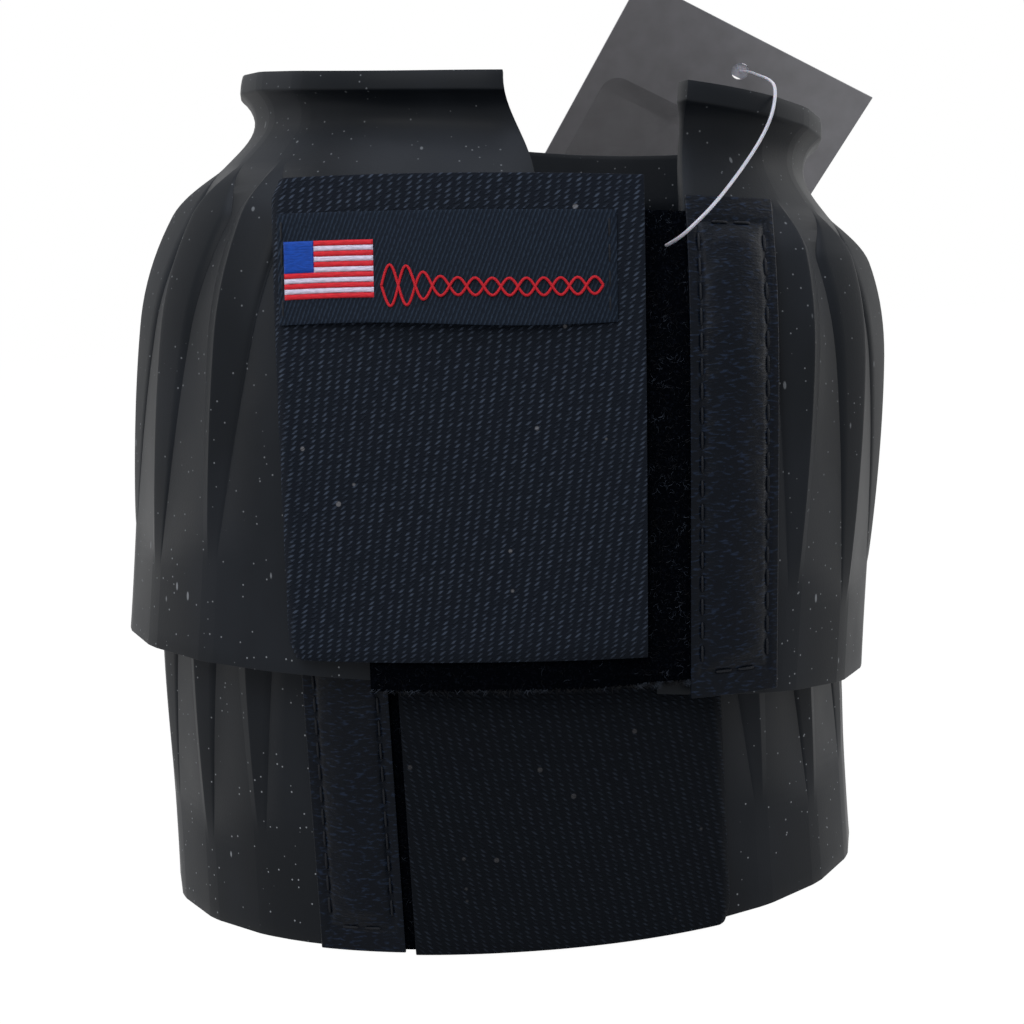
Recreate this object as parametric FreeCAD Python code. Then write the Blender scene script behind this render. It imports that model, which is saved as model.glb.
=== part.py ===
import FreeCAD, Part
import math
import os
from collections import namedtuple

# A pair of ribbed rubber bell boots, the upper one nested down over the lower one, with
# the hang tag of the pair. Millimetres and degrees, +Z up, the closures face -Y. Each boot
# is built upright with its hem at z = 0 and its tape spine on the -X side, then placed.

Vector = FreeCAD.Vector
NODES = {}
FLATNESS = 0.001  # a border that rises less than this is made a plane

# ---- bell shell -------------------------------------------------------------------------
WALL = 2.6  # thickness of the rubber
WALL_HEIGHT = 75.0  # top of the nearly straight wall
WALL_TAPER = 3.1  # how far the wall leans in by then
SHOULDER_HEIGHT = 109.5
SHOULDER_INSET = 15.0
NECK_HEIGHT = 125.2
NECK_INSET = 25.0
LIP_HEIGHT = 7.5  # from the neck to the widest line of the lip
LIP_REACH = 3.7  # how far the lip stands out from the neck
LIP_BEAD = 4.4  # from the widest line to the top of the rim
RIM_ROUND = 1.8  # how far the rim's top edge is rounded in
BACK_DIP = 14.0  # how much lower the rim is at the back
ARCH_HEIGHT = 75.0  # how high the arch of a hem that rides up at the front is felt
BACK_POWER = 2.1  # fullness of the plan outline behind
BROW_AZIMUTH = -35.0  # where the front of a worn collar has sagged most
BROW_POWER = 4  # how narrow that sag is
NEST_SIDE = 4.6  # how much larger the upper bell is at the sides
NEST_FRONT = 6.8
NEST_BACK = 4.5
NEST_HEIGHT = 59.5  # hem of the upper boot over the hem of the lower one

# ---- ribs -------------------------------------------------------------------------------
RIB_COUNT = 21
FIRST_RIB = 48.5  # azimuth of the rib nearest the front, on both sides
RIB_TOP = 113.0
RIB_FULL = 100.0  # height at which a rib is widest
RIB_FOOT = 26.0  # height of the rib's point
RIB_FOOT_STEP = 5.0  # every other rib ends this much lower
RIB_FRONT_SHARE = 0.6  # share of the rib pitch on the slope that faces the front
RIB_BACK_SHARE = 0.3
RIB_POINT_SHARE = 0.25  # width of a rib at its point, as a share of its full width
RIB_FADE = 0.7  # power by which a rib's height fades towards its point

# ---- closure: tapes, flaps and strips ---------------------------------------------------
TAPE_WIDTH = 101.6
TAPE_BEND = 0.65  # share of the tape's width that lies below the shoulder
HOOK_TAPE = 1.2  # thickness of the hook tape
LOOP_TAPE = 1.8  # thickness of the double sided loop flap
SEAM_GAP = 0.2  # between layers that are sewn together
FLAP_GAP = 0.4  # between layers that part when the closure opens
SPINE_MARGIN = 0.5  # the sewn leaf starts this much inside the spine
LOOP_RAMP = 12.0  # length over which the loop flap climbs from its root
LEAF_MARGIN = 2.5  # the sewn leaf ends this far before that climb
SPINE_ROUND = 3.0  # width of the fold at the spine
FLAP_SHOULDER_HEIGHT = 114.0  # the stiff flaps bridge the shoulder
FLAP_SHOULDER_INSET = 9.0
BACKING = 0.6
BACKING_MARGIN = 1.5  # the backing strips are this much narrower than what they back
BACKING_DROP = 30.0  # and this much shorter
BACKING_GAP = 0.6  # inside the shell

# ---- leatherette strip ------------------------------------------------------------------
STRIP = 1.0
STRIP_PUFF = 1.3  # how far the padded middle stands up
STRIP_LAP = 3.0  # the strip covers the loop tape's cut end by this much

# ---- stitches and label -----------------------------------------------------------------
THREAD = 0.6
STITCH_LENGTH = 3.9
STITCH_PITCH = 5.2
STRIP_SEAM = 2.6  # seam to the edge of the strip
STRIP_SEAM_ENDS = 5.5
HOOK_SEAM = 3.6
LABEL_LENGTH = 70.5
LABEL_HEIGHT = 22.7
LABEL = 0.4
LABEL_DROP = 7.3  # below the closure flap's upper edge
LABEL_START = 0.8  # from the spine
LABEL_SEAM = 1.6

# ---- hang tag ---------------------------------------------------------------------------
TAG_WIDTH = 74.0
TAG_LENGTH = 92.0
TAG = 0.6
TAG_HOLE = 4.8
TAG_HOLE_DROP = 10.0
TAG_TURN = 30.0  # the card hangs turned in its own plane
TAG_LEAN = 25.0  # and leans on the lip
STICKER_WIDTH = 44.0
STICKER_LENGTH = 58.0
STICKER = 0.12
STICKER_CORNER = 5.0
STICKER_DROP = 26.0
STICKER_SIDE = 5.0
FILAMENT = 0.8
PADDLE_LENGTH = 9.0
PADDLE_WIDTH = 4.0
PADDLE = 0.9
T_BAR_LENGTH = 9.0
T_BAR = 1.2
T_BAR_PLACE = (34.5, 97.0)  # across and up the closure of the upper boot
FILAMENT_ROUTE = [
    (41.3, -67.4, 155.3),
    (43.6, -71.6, 156.5),
    (47.5, -72.8, 159.8),
    (51.8, -68.5, 163.3),
    (56.9, -61.0, 168.1),
    (62.0, -54.0, 173.5),
    (66.0, -49.5, 178.6),
    (68.5, -47.6, 183.3),
    (70.5, -41.0, 189.4),
    (71.0, -25.5, 192.6),
    (71.6, -6.0, 195.2),
    (73.4, 20.0, 198.6),
    (74.5, 45.0, 201.0),
]

# ---- the two boots ----------------------------------------------------------------------
# spine, flap_end, loop_end, bend and the strip's edges are distances across the front from
# the middle of the boot, tape_foot and loop_foot the heights of the tapes' lower edges, and
# twist turns the closure within the front of the shell, and fan is how much further out the
# spine's upper end lies. arch is how far the hem rides up at the front. The collar is lifted
# on the spine's side by collar_lift and pushed the other way by collar_shift, and its front
# sags by brow_dip.
Boot = namedtuple(
    "Boot",
    "name half_width front_depth back_depth front_power arch spine flap_end loop_end bend"
    " strip_start strip_end split_hook split_hook_rim split_loop tape_foot loop_foot"
    " strip_foot strip_height twist fan collar_lift collar_shift brow_dip rib_height mirrored tilt"
    " at",
)
LOWER = Boot(
    name="lower", half_width=88.2, front_depth=69.7, back_depth=66.8, front_power=2.1,
    arch=0.0, spine=-49.0, flap_end=22.9, loop_end=-30.0, bend=23.4, strip_start=25.3,
    strip_end=45.0, split_hook=-2.0, split_hook_rim=-5.0, split_loop=26.0, tape_foot=0.6,
    loop_foot=0.6, strip_foot=0.4, strip_height=104.0, twist=0.0, fan=0.0,
    collar_lift=0.0, collar_shift=0.0, brow_dip=0.0, rib_height=2.2, mirrored=True, tilt=0.0,
    at=Vector(0, 0, 0),
)
UPPER = Boot(
    name="upper", half_width=LOWER.half_width + NEST_SIDE,
    front_depth=LOWER.front_depth + NEST_FRONT, back_depth=LOWER.back_depth + NEST_BACK,
    front_power=2.4, arch=3.0, spine=-48.0, flap_end=29.2, loop_end=-30.8, bend=31.0, strip_start=38.9,
    strip_end=59.2, split_hook=2.5, split_hook_rim=-6.0, split_loop=35.0, tape_foot=9.6,
    loop_foot=2.9, strip_foot=-0.8, strip_height=108.0, twist=-3.9, fan=2.1,
    collar_lift=4.3, collar_shift=1.5, brow_dip=4.0, rib_height=3.4, mirrored=False, tilt=6.5,
    at=Vector(1.3, -1.0, NEST_HEIGHT),
)
TILT_HEIGHT = 20.0  # the height in the upper boot about which it tilts

SHELL_PROFILE = [  # height, inset from the hem, slope of the inset
    (0.0, 0.0, WALL_TAPER / WALL_HEIGHT),
    (WALL_HEIGHT, WALL_TAPER, 0.1),
    (SHOULDER_HEIGHT, SHOULDER_INSET, 0.62),
    (NECK_HEIGHT, NECK_INSET, 0.0),
    (NECK_HEIGHT + LIP_HEIGHT, NECK_INSET - LIP_REACH, 0.0),
    (NECK_HEIGHT + LIP_HEIGHT + LIP_BEAD, NECK_INSET - LIP_REACH + RIM_ROUND, 1.0),
]
FLAP_PROFILE = SHELL_PROFILE[:2] + [(FLAP_SHOULDER_HEIGHT, FLAP_SHOULDER_INSET, 0.25)]
BELL_HEIGHT = SHELL_PROFILE[-1][0]

# How far each layer of the closure stands off the shell.
LEAF_TOP = SEAM_GAP + HOOK_TAPE
ROOT_TOP = SEAM_GAP + LOOP_TAPE
LOOP_LOW = LEAF_TOP + FLAP_GAP
LOOP_TOP = LOOP_LOW + LOOP_TAPE
FLAP_LOW = LOOP_TOP + FLAP_GAP
FLAP_TOP = FLAP_LOW + HOOK_TAPE
STRIP_LOW = ROOT_TOP + SEAM_GAP
LABEL_LOW = FLAP_TOP + SEAM_GAP / 2
TAPE_MIDDLE = TAPE_WIDTH / 2


def smooth(value):
    """0 below 0, 1 above 1, and a smooth step between."""
    value = min(max(value, 0.0), 1.0)
    return value * value * (3 - 2 * value)


def spread(start, end, count):
    return [start + (end - start) * i / (count - 1) for i in range(count)]


def inset_at(profile, height):
    """Inset of a profile at a height, and its slope, by cubics between the knots."""
    pairs = list(zip(profile, profile[1:]))
    low, high = next((p for p in pairs if height <= p[1][0]), pairs[-1])
    span = high[0] - low[0]
    t = (height - low[0]) / span
    ends = low[1] * (1 - 3 * t**2 + 2 * t**3) + high[1] * (3 * t**2 - 2 * t**3)
    bends = low[2] * (t - 2 * t**2 + t**3) + high[2] * (t**3 - t**2)
    rate = (high[1] - low[1]) / span * (6 * t - 6 * t**2)
    slope = rate + low[2] * (1 - 4 * t + 3 * t**2) + high[2] * (3 * t**2 - 2 * t)
    return ends + bends * span, slope


def plan(boot, azimuth):
    """Point and outward normal of the hem's outline, at an azimuth from the front."""
    side, ahead = math.sin(azimuth), math.cos(azimuth)
    depth, power = boot.front_depth, boot.front_power
    if ahead < 0:
        depth, power = boot.back_depth, BACK_POWER
    wide, deep = abs(side) / boot.half_width, abs(ahead) / depth
    radius = (wide**power + deep**power) ** (-1 / power)
    normal = Vector(
        math.copysign((radius * wide) ** (power - 1) / boot.half_width, side),
        -math.copysign((radius * deep) ** (power - 1) / depth, ahead),
        0,
    )
    return Vector(radius * side, -radius * ahead, 0), normal.normalize()


def brow_sag(boot, azimuth, height):
    """How far the front of the collar has sagged, above the stiff flaps."""
    facing = max(0.0, math.cos(azimuth - math.radians(BROW_AZIMUTH))) ** BROW_POWER
    above = (height - FLAP_SHOULDER_HEIGHT) / (BELL_HEIGHT - FLAP_SHOULDER_HEIGHT)
    return boot.brow_dip * facing * smooth(above)


def bell_point(boot, azimuth, height, inset, slope=0.0, rise=0.0):
    """Point at an inset from the hem's outline, raised along the wall's normal."""
    foot, outward = plan(boot, azimuth)
    lean = math.hypot(1, slope)
    point = foot + outward * (rise / lean - inset)
    collar = smooth((height - WALL_HEIGHT) / (NECK_HEIGHT - WALL_HEIGHT))
    dip = BACK_DIP * (1 - math.cos(azimuth)) / 2
    dip -= boot.collar_lift * ((1 - math.sin(azimuth)) / 2) ** 2
    point.x += boot.collar_shift * collar
    point.z = height - dip * collar - brow_sag(boot, azimuth, height) + rise * slope / lean
    return point


def rib_azimuths():
    step = (360 - 2 * FIRST_RIB) / (RIB_COUNT - 1)
    return [math.radians(FIRST_RIB + step * i) for i in range(RIB_COUNT)], math.radians(step)


def rib_rise(boot, azimuth, height):
    """Height of the pleat-like ribs: a crest, a long slope ahead and a short one behind."""
    crests, pitch = rib_azimuths()
    number = min(range(RIB_COUNT), key=lambda i: abs(crests[i] - azimuth))
    foot = RIB_FOOT - RIB_FOOT_STEP * (number % 2)
    size = min(max((height - foot) / (RIB_FULL - foot), 0.0), 1.0)
    size *= 1 - smooth((height - RIB_FULL) / (RIB_TOP - RIB_FULL))
    if size < 0.01:
        return 0.0
    away = azimuth - crests[number]
    behind = away * (1 if azimuth < math.pi else -1) > 0
    reach = pitch * (RIB_BACK_SHARE if behind else RIB_FRONT_SHARE)
    reach *= RIB_POINT_SHARE + (1 - RIB_POINT_SHARE) * size
    return boot.rib_height * size**RIB_FADE * max(0.0, 1 - abs(away) / reach)


def wall_at(height, stiff=0.0):
    """Inset and slope of the wall; a stiff layer bridges the shoulder."""
    shell, flap = inset_at(SHELL_PROFILE, height), inset_at(FLAP_PROFILE, height)
    return tuple(a + (b - a) * stiff for a, b in zip(shell, flap))


def azimuth_at(boot, across, height, inset, slope, rise=0.0):
    """Azimuth of the point of the front wall that lies this far across."""
    low, high = math.radians(-85), math.radians(85)
    for _ in range(32):
        middle = (low + high) / 2
        if bell_point(boot, middle, height, inset, slope, rise).x < across:
            low = middle
        else:
            high = middle
    return middle


def front_point(boot, across, up, rise, stiff=0.0):
    """Point of the closure: across and up are turned by the twist, rise is off the shell."""
    twist = math.radians(boot.twist)
    fanned = max(0.0, (boot.flap_end - across) / (boot.flap_end - boot.spine))
    across -= boot.fan * fanned * up / TAPE_WIDTH
    above = up - TAPE_MIDDLE
    x = across * math.cos(twist) + above * math.sin(twist)
    height = TAPE_MIDDLE - across * math.sin(twist) + above * math.cos(twist)
    inset, slope = wall_at(height, stiff)
    azimuth = azimuth_at(boot, x, height, inset, slope, rise)
    return bell_point(boot, azimuth, height, inset, slope, rise)


def skin(point_at, columns, rows):
    surface = Part.BSplineSurface()
    surface.interpolate([[point_at(c, r) for r in rows] for c in columns])
    return surface


def border(first, second):
    """Face between two edges: a plane where both lie at one level, and otherwise ruled."""
    if Part.makeCompound([first, second]).BoundBox.ZLength > FLATNESS:
        return Part.makeRuledSurface(first, second)
    ends = [Part.makeLine(first.Vertexes[i].Point, second.Vertexes[i].Point) for i in (0, -1)]
    return Part.Face(Part.Wire(Part.sortEdges([first, second] + ends)[0]))


def solid_between(outer, inner, columns, rows):
    """Closed solid between two skins, each a point function of column and row."""
    skins = [skin(outer, columns, rows), skin(inner, columns, rows)]
    faces = [s.toShape() for s in skins]
    for end in (0, 1):
        across = [s.uIso(s.bounds()[end]).toShape() for s in skins]
        along = [s.vIso(s.bounds()[2 + end]).toShape() for s in skins]
        faces += [border(*across), border(*along)]
    shell = Part.makeShell(faces)
    shell.sewShape()
    if Part.Solid(shell).Volume < 0:
        shell.reverse()
    return Part.Solid(shell)


def as_function(value):
    return value if callable(value) else lambda *_: value


def sheet(boot, columns, rows, low, high, stiff=0.0):
    """Sheet of the closure; low, high and stiff are numbers or functions of across and up."""
    low, high, stiff = as_function(low), as_function(high), as_function(stiff)
    return solid_between(
        lambda across, up: front_point(boot, across, up, high(across, up), stiff(across, up)),
        lambda across, up: front_point(boot, across, up, low(across, up), stiff(across, up)),
        columns,
        rows,
    )


def tape_rows(foot):
    """Heights along a tape, closer together on the shoulder."""
    bend = foot + TAPE_BEND * TAPE_WIDTH
    return spread(foot, bend, 8) + spread(bend, foot + TAPE_WIDTH, 9)[1:]


def placed(boot, shape):
    """Takes a shape from the boot's own upright frame to its place in the pair."""
    if boot.mirrored:
        shape = shape.mirror(Vector(0, 0, 0), Vector(1, 0, 0))
    shape = shape.copy()
    shape.rotate(Vector(0, 0, TILT_HEIGHT), Vector(0, 1, 0), boot.tilt)
    shape.translate(boot.at)
    return shape


def keep(boot, name, solids):
    """Places solids of a boot and files them under the boot's name."""
    shape = solids if isinstance(solids, Part.Shape) else Part.makeCompound(solids)
    NODES[f"{boot.name}_{name}"] = placed(boot, shape)


# ---- pieces of a boot -------------------------------------------------------------------
def bell_shell(boot):
    """The moulded bell: it runs from the loop side of the split round the back."""
    crests, pitch = rib_azimuths()
    front = spread(0.0, 1.0, 9)[:-1]
    ribbed = []
    for crest in crests:
        ahead = 1 if crest <= math.pi else -1
        for share in (
            -RIB_FRONT_SHARE, -RIB_FRONT_SHARE / 2, 0, RIB_BACK_SHARE / 3, RIB_BACK_SHARE * 2 / 3
        ):
            ribbed.append(crest + ahead * share * pitch)
    ribbed = sorted(ribbed)
    columns = [(t, None) for t in front]
    columns += [(None, azimuth) for azimuth in ribbed]
    columns += [(-1 + t, None) for t in reversed(front)]

    def azimuth_of(column, height):
        if column[1] is not None:
            return column[1]
        rim = smooth((height - SHOULDER_HEIGHT) / (BELL_HEIGHT - SHOULDER_HEIGHT))
        hook_side = boot.split_hook + rim * (boot.split_hook_rim - boot.split_hook)
        across = boot.split_loop if column[0] >= 0 else hook_side
        edge = azimuth_at(boot, across, height, *wall_at(height))
        if column[0] >= 0:
            return edge + column[0] * (ribbed[0] - edge)
        edge += 2 * math.pi
        return edge + (column[0] + 1) * (ribbed[-1] - edge)

    def arched(azimuth, row):
        low = boot.arch * max(0.0, math.cos(azimuth)) ** 2
        return row + low * max(0.0, 1 - row / ARCH_HEIGHT)

    def outer(column, row):
        azimuth = azimuth_of(column, row)
        height = arched(azimuth, row)
        inset, slope = wall_at(height)
        rise = rib_rise(boot, azimuth, height) if column[1] is not None else 0.0
        return bell_point(boot, azimuth, height, inset, slope, rise)

    def inner(column, row):
        azimuth = azimuth_of(column, row)
        height = arched(azimuth, row)
        inset, slope = wall_at(height)
        inset = min(inset + WALL * math.hypot(1, slope), NECK_INSET + WALL)
        if height > NECK_HEIGHT:
            inset = NECK_INSET + WALL
        return bell_point(boot, azimuth, height, inset)

    rows = spread(0, RIB_FULL, 13) + spread(RIB_FULL, BELL_HEIGHT, 15)[1:]
    return solid_between(outer, inner, columns, rows)


def hook_leaf(boot):
    """The half of the hook tape that is sewn down on the shell."""
    columns = spread(boot.spine + SPINE_MARGIN, boot.bend - LOOP_RAMP - LEAF_MARGIN, 9)
    return sheet(boot, columns, tape_rows(boot.tape_foot), SEAM_GAP, LEAF_TOP)


def closure_flap(boot):
    """The half of the hook tape that folds over, with the fold at its spine."""
    floor = LEAF_TOP + FLAP_GAP

    def low(across, _):
        return FLAP_LOW - (FLAP_LOW - floor) * smooth(1 - (across - boot.spine) / SPINE_ROUND)

    columns = spread(boot.spine, boot.spine + SPINE_ROUND, 5)[:-1]
    columns += spread(boot.spine + SPINE_ROUND, boot.flap_end, 10)
    return sheet(boot, columns, tape_rows(boot.tape_foot), low, FLAP_TOP, stiff=1.0)


def loop_root(boot):
    """The end of the loop tape that is sewn on the other side of the split."""
    columns = spread(boot.bend + FLAP_GAP, boot.strip_end - STRIP_LAP, 9)
    return sheet(boot, columns, tape_rows(boot.loop_foot), SEAM_GAP, ROOT_TOP)


def loop_flap(boot):
    """The double sided loop tape that lies between the two hook leaves."""

    def climb(across, _):
        return smooth((boot.bend - across) / LOOP_RAMP)

    def low(across, up):
        return SEAM_GAP + (LOOP_LOW - SEAM_GAP) * climb(across, up)

    columns = spread(boot.loop_end, boot.bend - LOOP_RAMP, 13)[:-1]
    columns += spread(boot.bend - LOOP_RAMP, boot.bend, 11)
    high = lambda across, up: low(across, up) + LOOP_TAPE
    return sheet(boot, columns, tape_rows(boot.loop_foot), low, high, climb)


def strip_span(boot):
    return boot.strip_foot, boot.strip_foot + boot.strip_height


def strip_puff(boot, across, up):
    """Height of the strip's padded middle over its flat margin."""
    foot, top = strip_span(boot)
    quarter = (boot.strip_end - boot.strip_start) / 4
    inward = min(across - boot.strip_start, boot.strip_end - across) - STRIP_SEAM
    endward = min(up - foot, top - up) - STRIP_SEAM_ENDS
    return STRIP_PUFF * smooth(inward / quarter) * smooth(endward / quarter)


def strip(boot):
    """Leatherette strip over the loop root, with a padded middle."""
    high = lambda across, up: STRIP_LOW + STRIP + strip_puff(boot, across, up)
    columns = spread(boot.strip_start, boot.strip_end, 15)
    return sheet(boot, columns, spread(*strip_span(boot), 31), STRIP_LOW, high)


def backing(boot, start, end):
    """Strip inside the shell that takes the seams."""
    columns = spread(start + BACKING_MARGIN, end - BACKING_MARGIN, 7)
    foot = boot.tape_foot + BACKING_MARGIN
    rows = spread(foot, foot + TAPE_WIDTH - BACKING_DROP, 13)
    return sheet(boot, columns, rows, -WALL - BACKING_GAP - BACKING, -WALL - BACKING_GAP)


def stitch(boot, start, end, rise, stiff):
    """One stitch, a short cylinder of thread from one across, up pair to another."""
    centre = rise + SEAM_GAP / 2 + THREAD / 2
    first = front_point(boot, *start, centre, stiff)
    last = front_point(boot, *end, centre, stiff)
    return Part.makeCylinder(THREAD / 2, (last - first).Length, first, last - first)


def seam(boot, start, end, rise, stiff=0.0):
    """A row of stitches at a rise, between two across, up pairs."""
    run = math.hypot(end[0] - start[0], end[1] - start[1])
    count = max(1, int(run / STITCH_PITCH))
    at = lambda t: tuple(a + (b - a) * t for a, b in zip(start, end))
    margin = (run - count * STITCH_PITCH) / 2 + (STITCH_PITCH - STITCH_LENGTH) / 2
    stitches = []
    for number in range(count):
        begin = margin + number * STITCH_PITCH
        first, last = at(begin / run), at((begin + STITCH_LENGTH) / run)
        stitches.append(stitch(boot, first, last, rise, stiff))
    return stitches


def strip_stitching(boot):
    foot, top = strip_span(boot)
    left, right = boot.strip_start + STRIP_SEAM, boot.strip_end - STRIP_SEAM
    low, high = foot + STRIP_SEAM_ENDS, top - STRIP_SEAM_ENDS
    corners = [(left, low), (right, low), (right, high), (left, high)]
    sides = zip(corners, corners[1:] + corners[:1])
    return [s for side in sides for s in seam(boot, *side, STRIP_LOW + STRIP)]


def hook_stitching(boot):
    """Two seams beside the spine that hold the sewn leaf."""
    first = boot.spine + SPINE_ROUND + HOOK_SEAM
    low, high = boot.tape_foot + HOOK_SEAM, boot.tape_foot + TAPE_WIDTH - HOOK_SEAM
    rows = (first, first + HOOK_SEAM)
    return [s for a in rows for s in seam(boot, (a, low), (a, high), LEAF_TOP)]


def label_box(boot):
    start = boot.spine + LABEL_START
    top = boot.tape_foot + TAPE_WIDTH - LABEL_DROP
    return (start, min(start + LABEL_LENGTH, boot.flap_end - LABEL_START)), (top - LABEL_HEIGHT, top)


def label(boot):
    across, up = label_box(boot)
    columns, rows = spread(*across, 9), spread(*up, 7)
    return sheet(boot, columns, rows, LABEL_LOW, LABEL_LOW + LABEL, stiff=1.0)


def label_stitching(boot):
    """A seam at each end of the label."""
    across, (low, high) = label_box(boot)
    rows = (across[0] + LABEL_SEAM, across[1] - LABEL_SEAM)
    return [s for a in rows for s in seam(boot, (a, low), (a, high), LABEL_LOW + LABEL, 1.0)]


def build_boot(boot):
    keep(boot, "shell", bell_shell(boot))
    keep(boot, "hook_leaf", hook_leaf(boot))
    keep(boot, "closure_flap", closure_flap(boot))
    keep(boot, "loop_root", loop_root(boot))
    keep(boot, "loop_flap", loop_flap(boot))
    keep(boot, "strip", strip(boot))
    keep(boot, "hook_backing", backing(boot, boot.spine, boot.split_hook))
    keep(boot, "loop_backing", backing(boot, boot.split_loop, boot.strip_end))
    keep(boot, "strip_stitching", strip_stitching(boot))
    keep(boot, "hook_stitching", hook_stitching(boot))
    keep(boot, "label", label(boot))
    keep(boot, "label_stitching", label_stitching(boot))


# ---- hang tag ---------------------------------------------------------------------------
def placed_on_tag(shape):
    """Takes a shape from the tag's own plane, its hole at the origin, to the boot."""
    shape = shape.copy()
    shape.rotate(Vector(0, 0, 0), Vector(0, 1, 0), TAG_TURN)
    shape.rotate(Vector(0, 0, 0), Vector(1, 0, 0), TAG_LEAN)
    shape.translate(Vector(*FILAMENT_ROUTE[-1]))
    return shape


def hang_tag():
    """Card with a round hole near its upper edge; its front face is in the plane y = 0."""
    corner = Vector(-TAG_WIDTH / 2, 0, TAG_HOLE_DROP - TAG_LENGTH)
    card = Part.makeBox(TAG_WIDTH, TAG, TAG_LENGTH, corner)
    hole = Part.makeCylinder(TAG_HOLE / 2, 3 * TAG, Vector(0, -TAG, 0), Vector(0, 1, 0))
    return placed_on_tag(card.cut(hole))


def tag_sticker():
    """Clear sticker on the front of the card."""
    corner = Vector(
        STICKER_SIDE - TAG_WIDTH / 2, -STICKER, TAG_HOLE_DROP - STICKER_DROP - STICKER_LENGTH
    )
    sticker = Part.makeBox(STICKER_WIDTH, STICKER, STICKER_LENGTH, corner)
    upright = [e for e in sticker.Edges if abs(e.tangentAt(e.FirstParameter).y) > 0.9]
    return placed_on_tag(sticker.makeFillet(STICKER_CORNER, upright))


def rounded_route(points):
    """Straight runs joined by tangent arcs, as large as the runs allow."""
    points = [Vector(*p) for p in points]
    edges, last, radii = [], points[0], []
    for before, here, after in zip(points, points[1:], points[2:]):
        back, on = (before - here), (after - here)
        reach = 0.45 * min(back.Length, on.Length)
        turn = math.pi - back.getAngle(on)
        start, end = here + back.normalize() * reach, here + on.normalize() * reach
        radius = reach / math.tan(turn / 2)
        radii.append(round(radius, 1))
        inward = (back + on).normalize()
        middle = here + inward * (radius / math.cos(turn / 2) - radius)
        edges += [Part.makeLine(last, start), Part.Arc(start, middle, end).toShape()]
        last = end
    edges.append(Part.makeLine(last, points[-1]))
    print("filament bend radii", radii)
    return Part.Wire(edges)


def filament():
    """Nylon filament from the loop root to the tag's hole."""
    route = rounded_route(FILAMENT_ROUTE)
    start = Vector(*FILAMENT_ROUTE[0])
    circle = Part.makeCircle(FILAMENT / 2, start, Vector(*FILAMENT_ROUTE[1]) - start)
    tube = route.makePipeShell([Part.Wire([circle])], True, False)
    section = math.pi * FILAMENT**2 / 4
    print("filament length", round(route.Length, 1), "volume ratio",
          round(tube.Volume / (section * route.Length), 3))
    return tube


def tag_paddle():
    """Flat end of the filament behind the card."""
    corner = Vector(-PADDLE_LENGTH / 2, TAG + SEAM_GAP, -PADDLE_WIDTH / 2)
    return placed_on_tag(Part.makeBox(PADDLE_LENGTH, PADDLE, PADDLE_WIDTH, corner))


def tag_t_bar():
    """Cross bar of the filament, behind the loop root of the upper boot."""
    across, up = T_BAR_PLACE
    rise = -T_BAR / 2
    foot = front_point(UPPER, across, up - T_BAR_LENGTH / 2, rise)
    head = front_point(UPPER, across, up + T_BAR_LENGTH / 2, rise)
    bar = Part.makeCylinder(T_BAR / 2, (head - foot).Length, foot, head - foot)
    return placed(UPPER, bar)


def main():
    build_boot(LOWER)
    build_boot(UPPER)
    NODES["hang_tag"] = hang_tag()
    NODES["tag_sticker"] = tag_sticker()
    NODES["tag_filament"] = filament()
    NODES["tag_paddle"] = tag_paddle()
    NODES["tag_t_bar"] = tag_t_bar()
    centre = Part.makeCompound([s for n, s in NODES.items() if "tag" not in n]).BoundBox.Center
    print("moved by", -centre.x, -centre.y)
    os.makedirs("parts", exist_ok=True)
    for name, shape in NODES.items():
        shape.translate(Vector(-centre.x, -centre.y, 0))
        shape.exportStep(f"parts/{name}.step")


main()
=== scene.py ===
import math
from collections import namedtuple

import bpy
import numpy as np
from mathutils import Matrix, Vector


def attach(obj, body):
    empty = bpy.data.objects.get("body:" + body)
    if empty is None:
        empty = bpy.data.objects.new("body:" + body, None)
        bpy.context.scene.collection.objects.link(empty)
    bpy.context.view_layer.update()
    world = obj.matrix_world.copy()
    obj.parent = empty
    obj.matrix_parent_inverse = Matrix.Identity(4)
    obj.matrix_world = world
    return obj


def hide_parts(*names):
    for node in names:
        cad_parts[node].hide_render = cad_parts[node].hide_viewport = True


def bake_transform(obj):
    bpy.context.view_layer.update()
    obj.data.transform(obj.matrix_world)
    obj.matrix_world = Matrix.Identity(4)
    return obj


bl_info = {
    "name": "Ribbed bell boots",
    "version": (1, 0, 0),
    "blender": (4, 5, 0),
    "location": "View3D > Sidebar > Bell boots",
    "description": "Two ribbed rubber bell boots, one nested in the other, with a hang tag",
    "category": "Object",
}

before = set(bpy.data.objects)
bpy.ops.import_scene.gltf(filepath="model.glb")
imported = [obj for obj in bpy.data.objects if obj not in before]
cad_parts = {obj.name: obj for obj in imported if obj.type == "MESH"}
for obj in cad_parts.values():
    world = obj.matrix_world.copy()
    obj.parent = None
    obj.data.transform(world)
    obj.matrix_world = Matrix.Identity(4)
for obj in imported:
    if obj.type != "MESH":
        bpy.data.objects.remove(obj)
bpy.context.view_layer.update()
MM = 0.001

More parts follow.
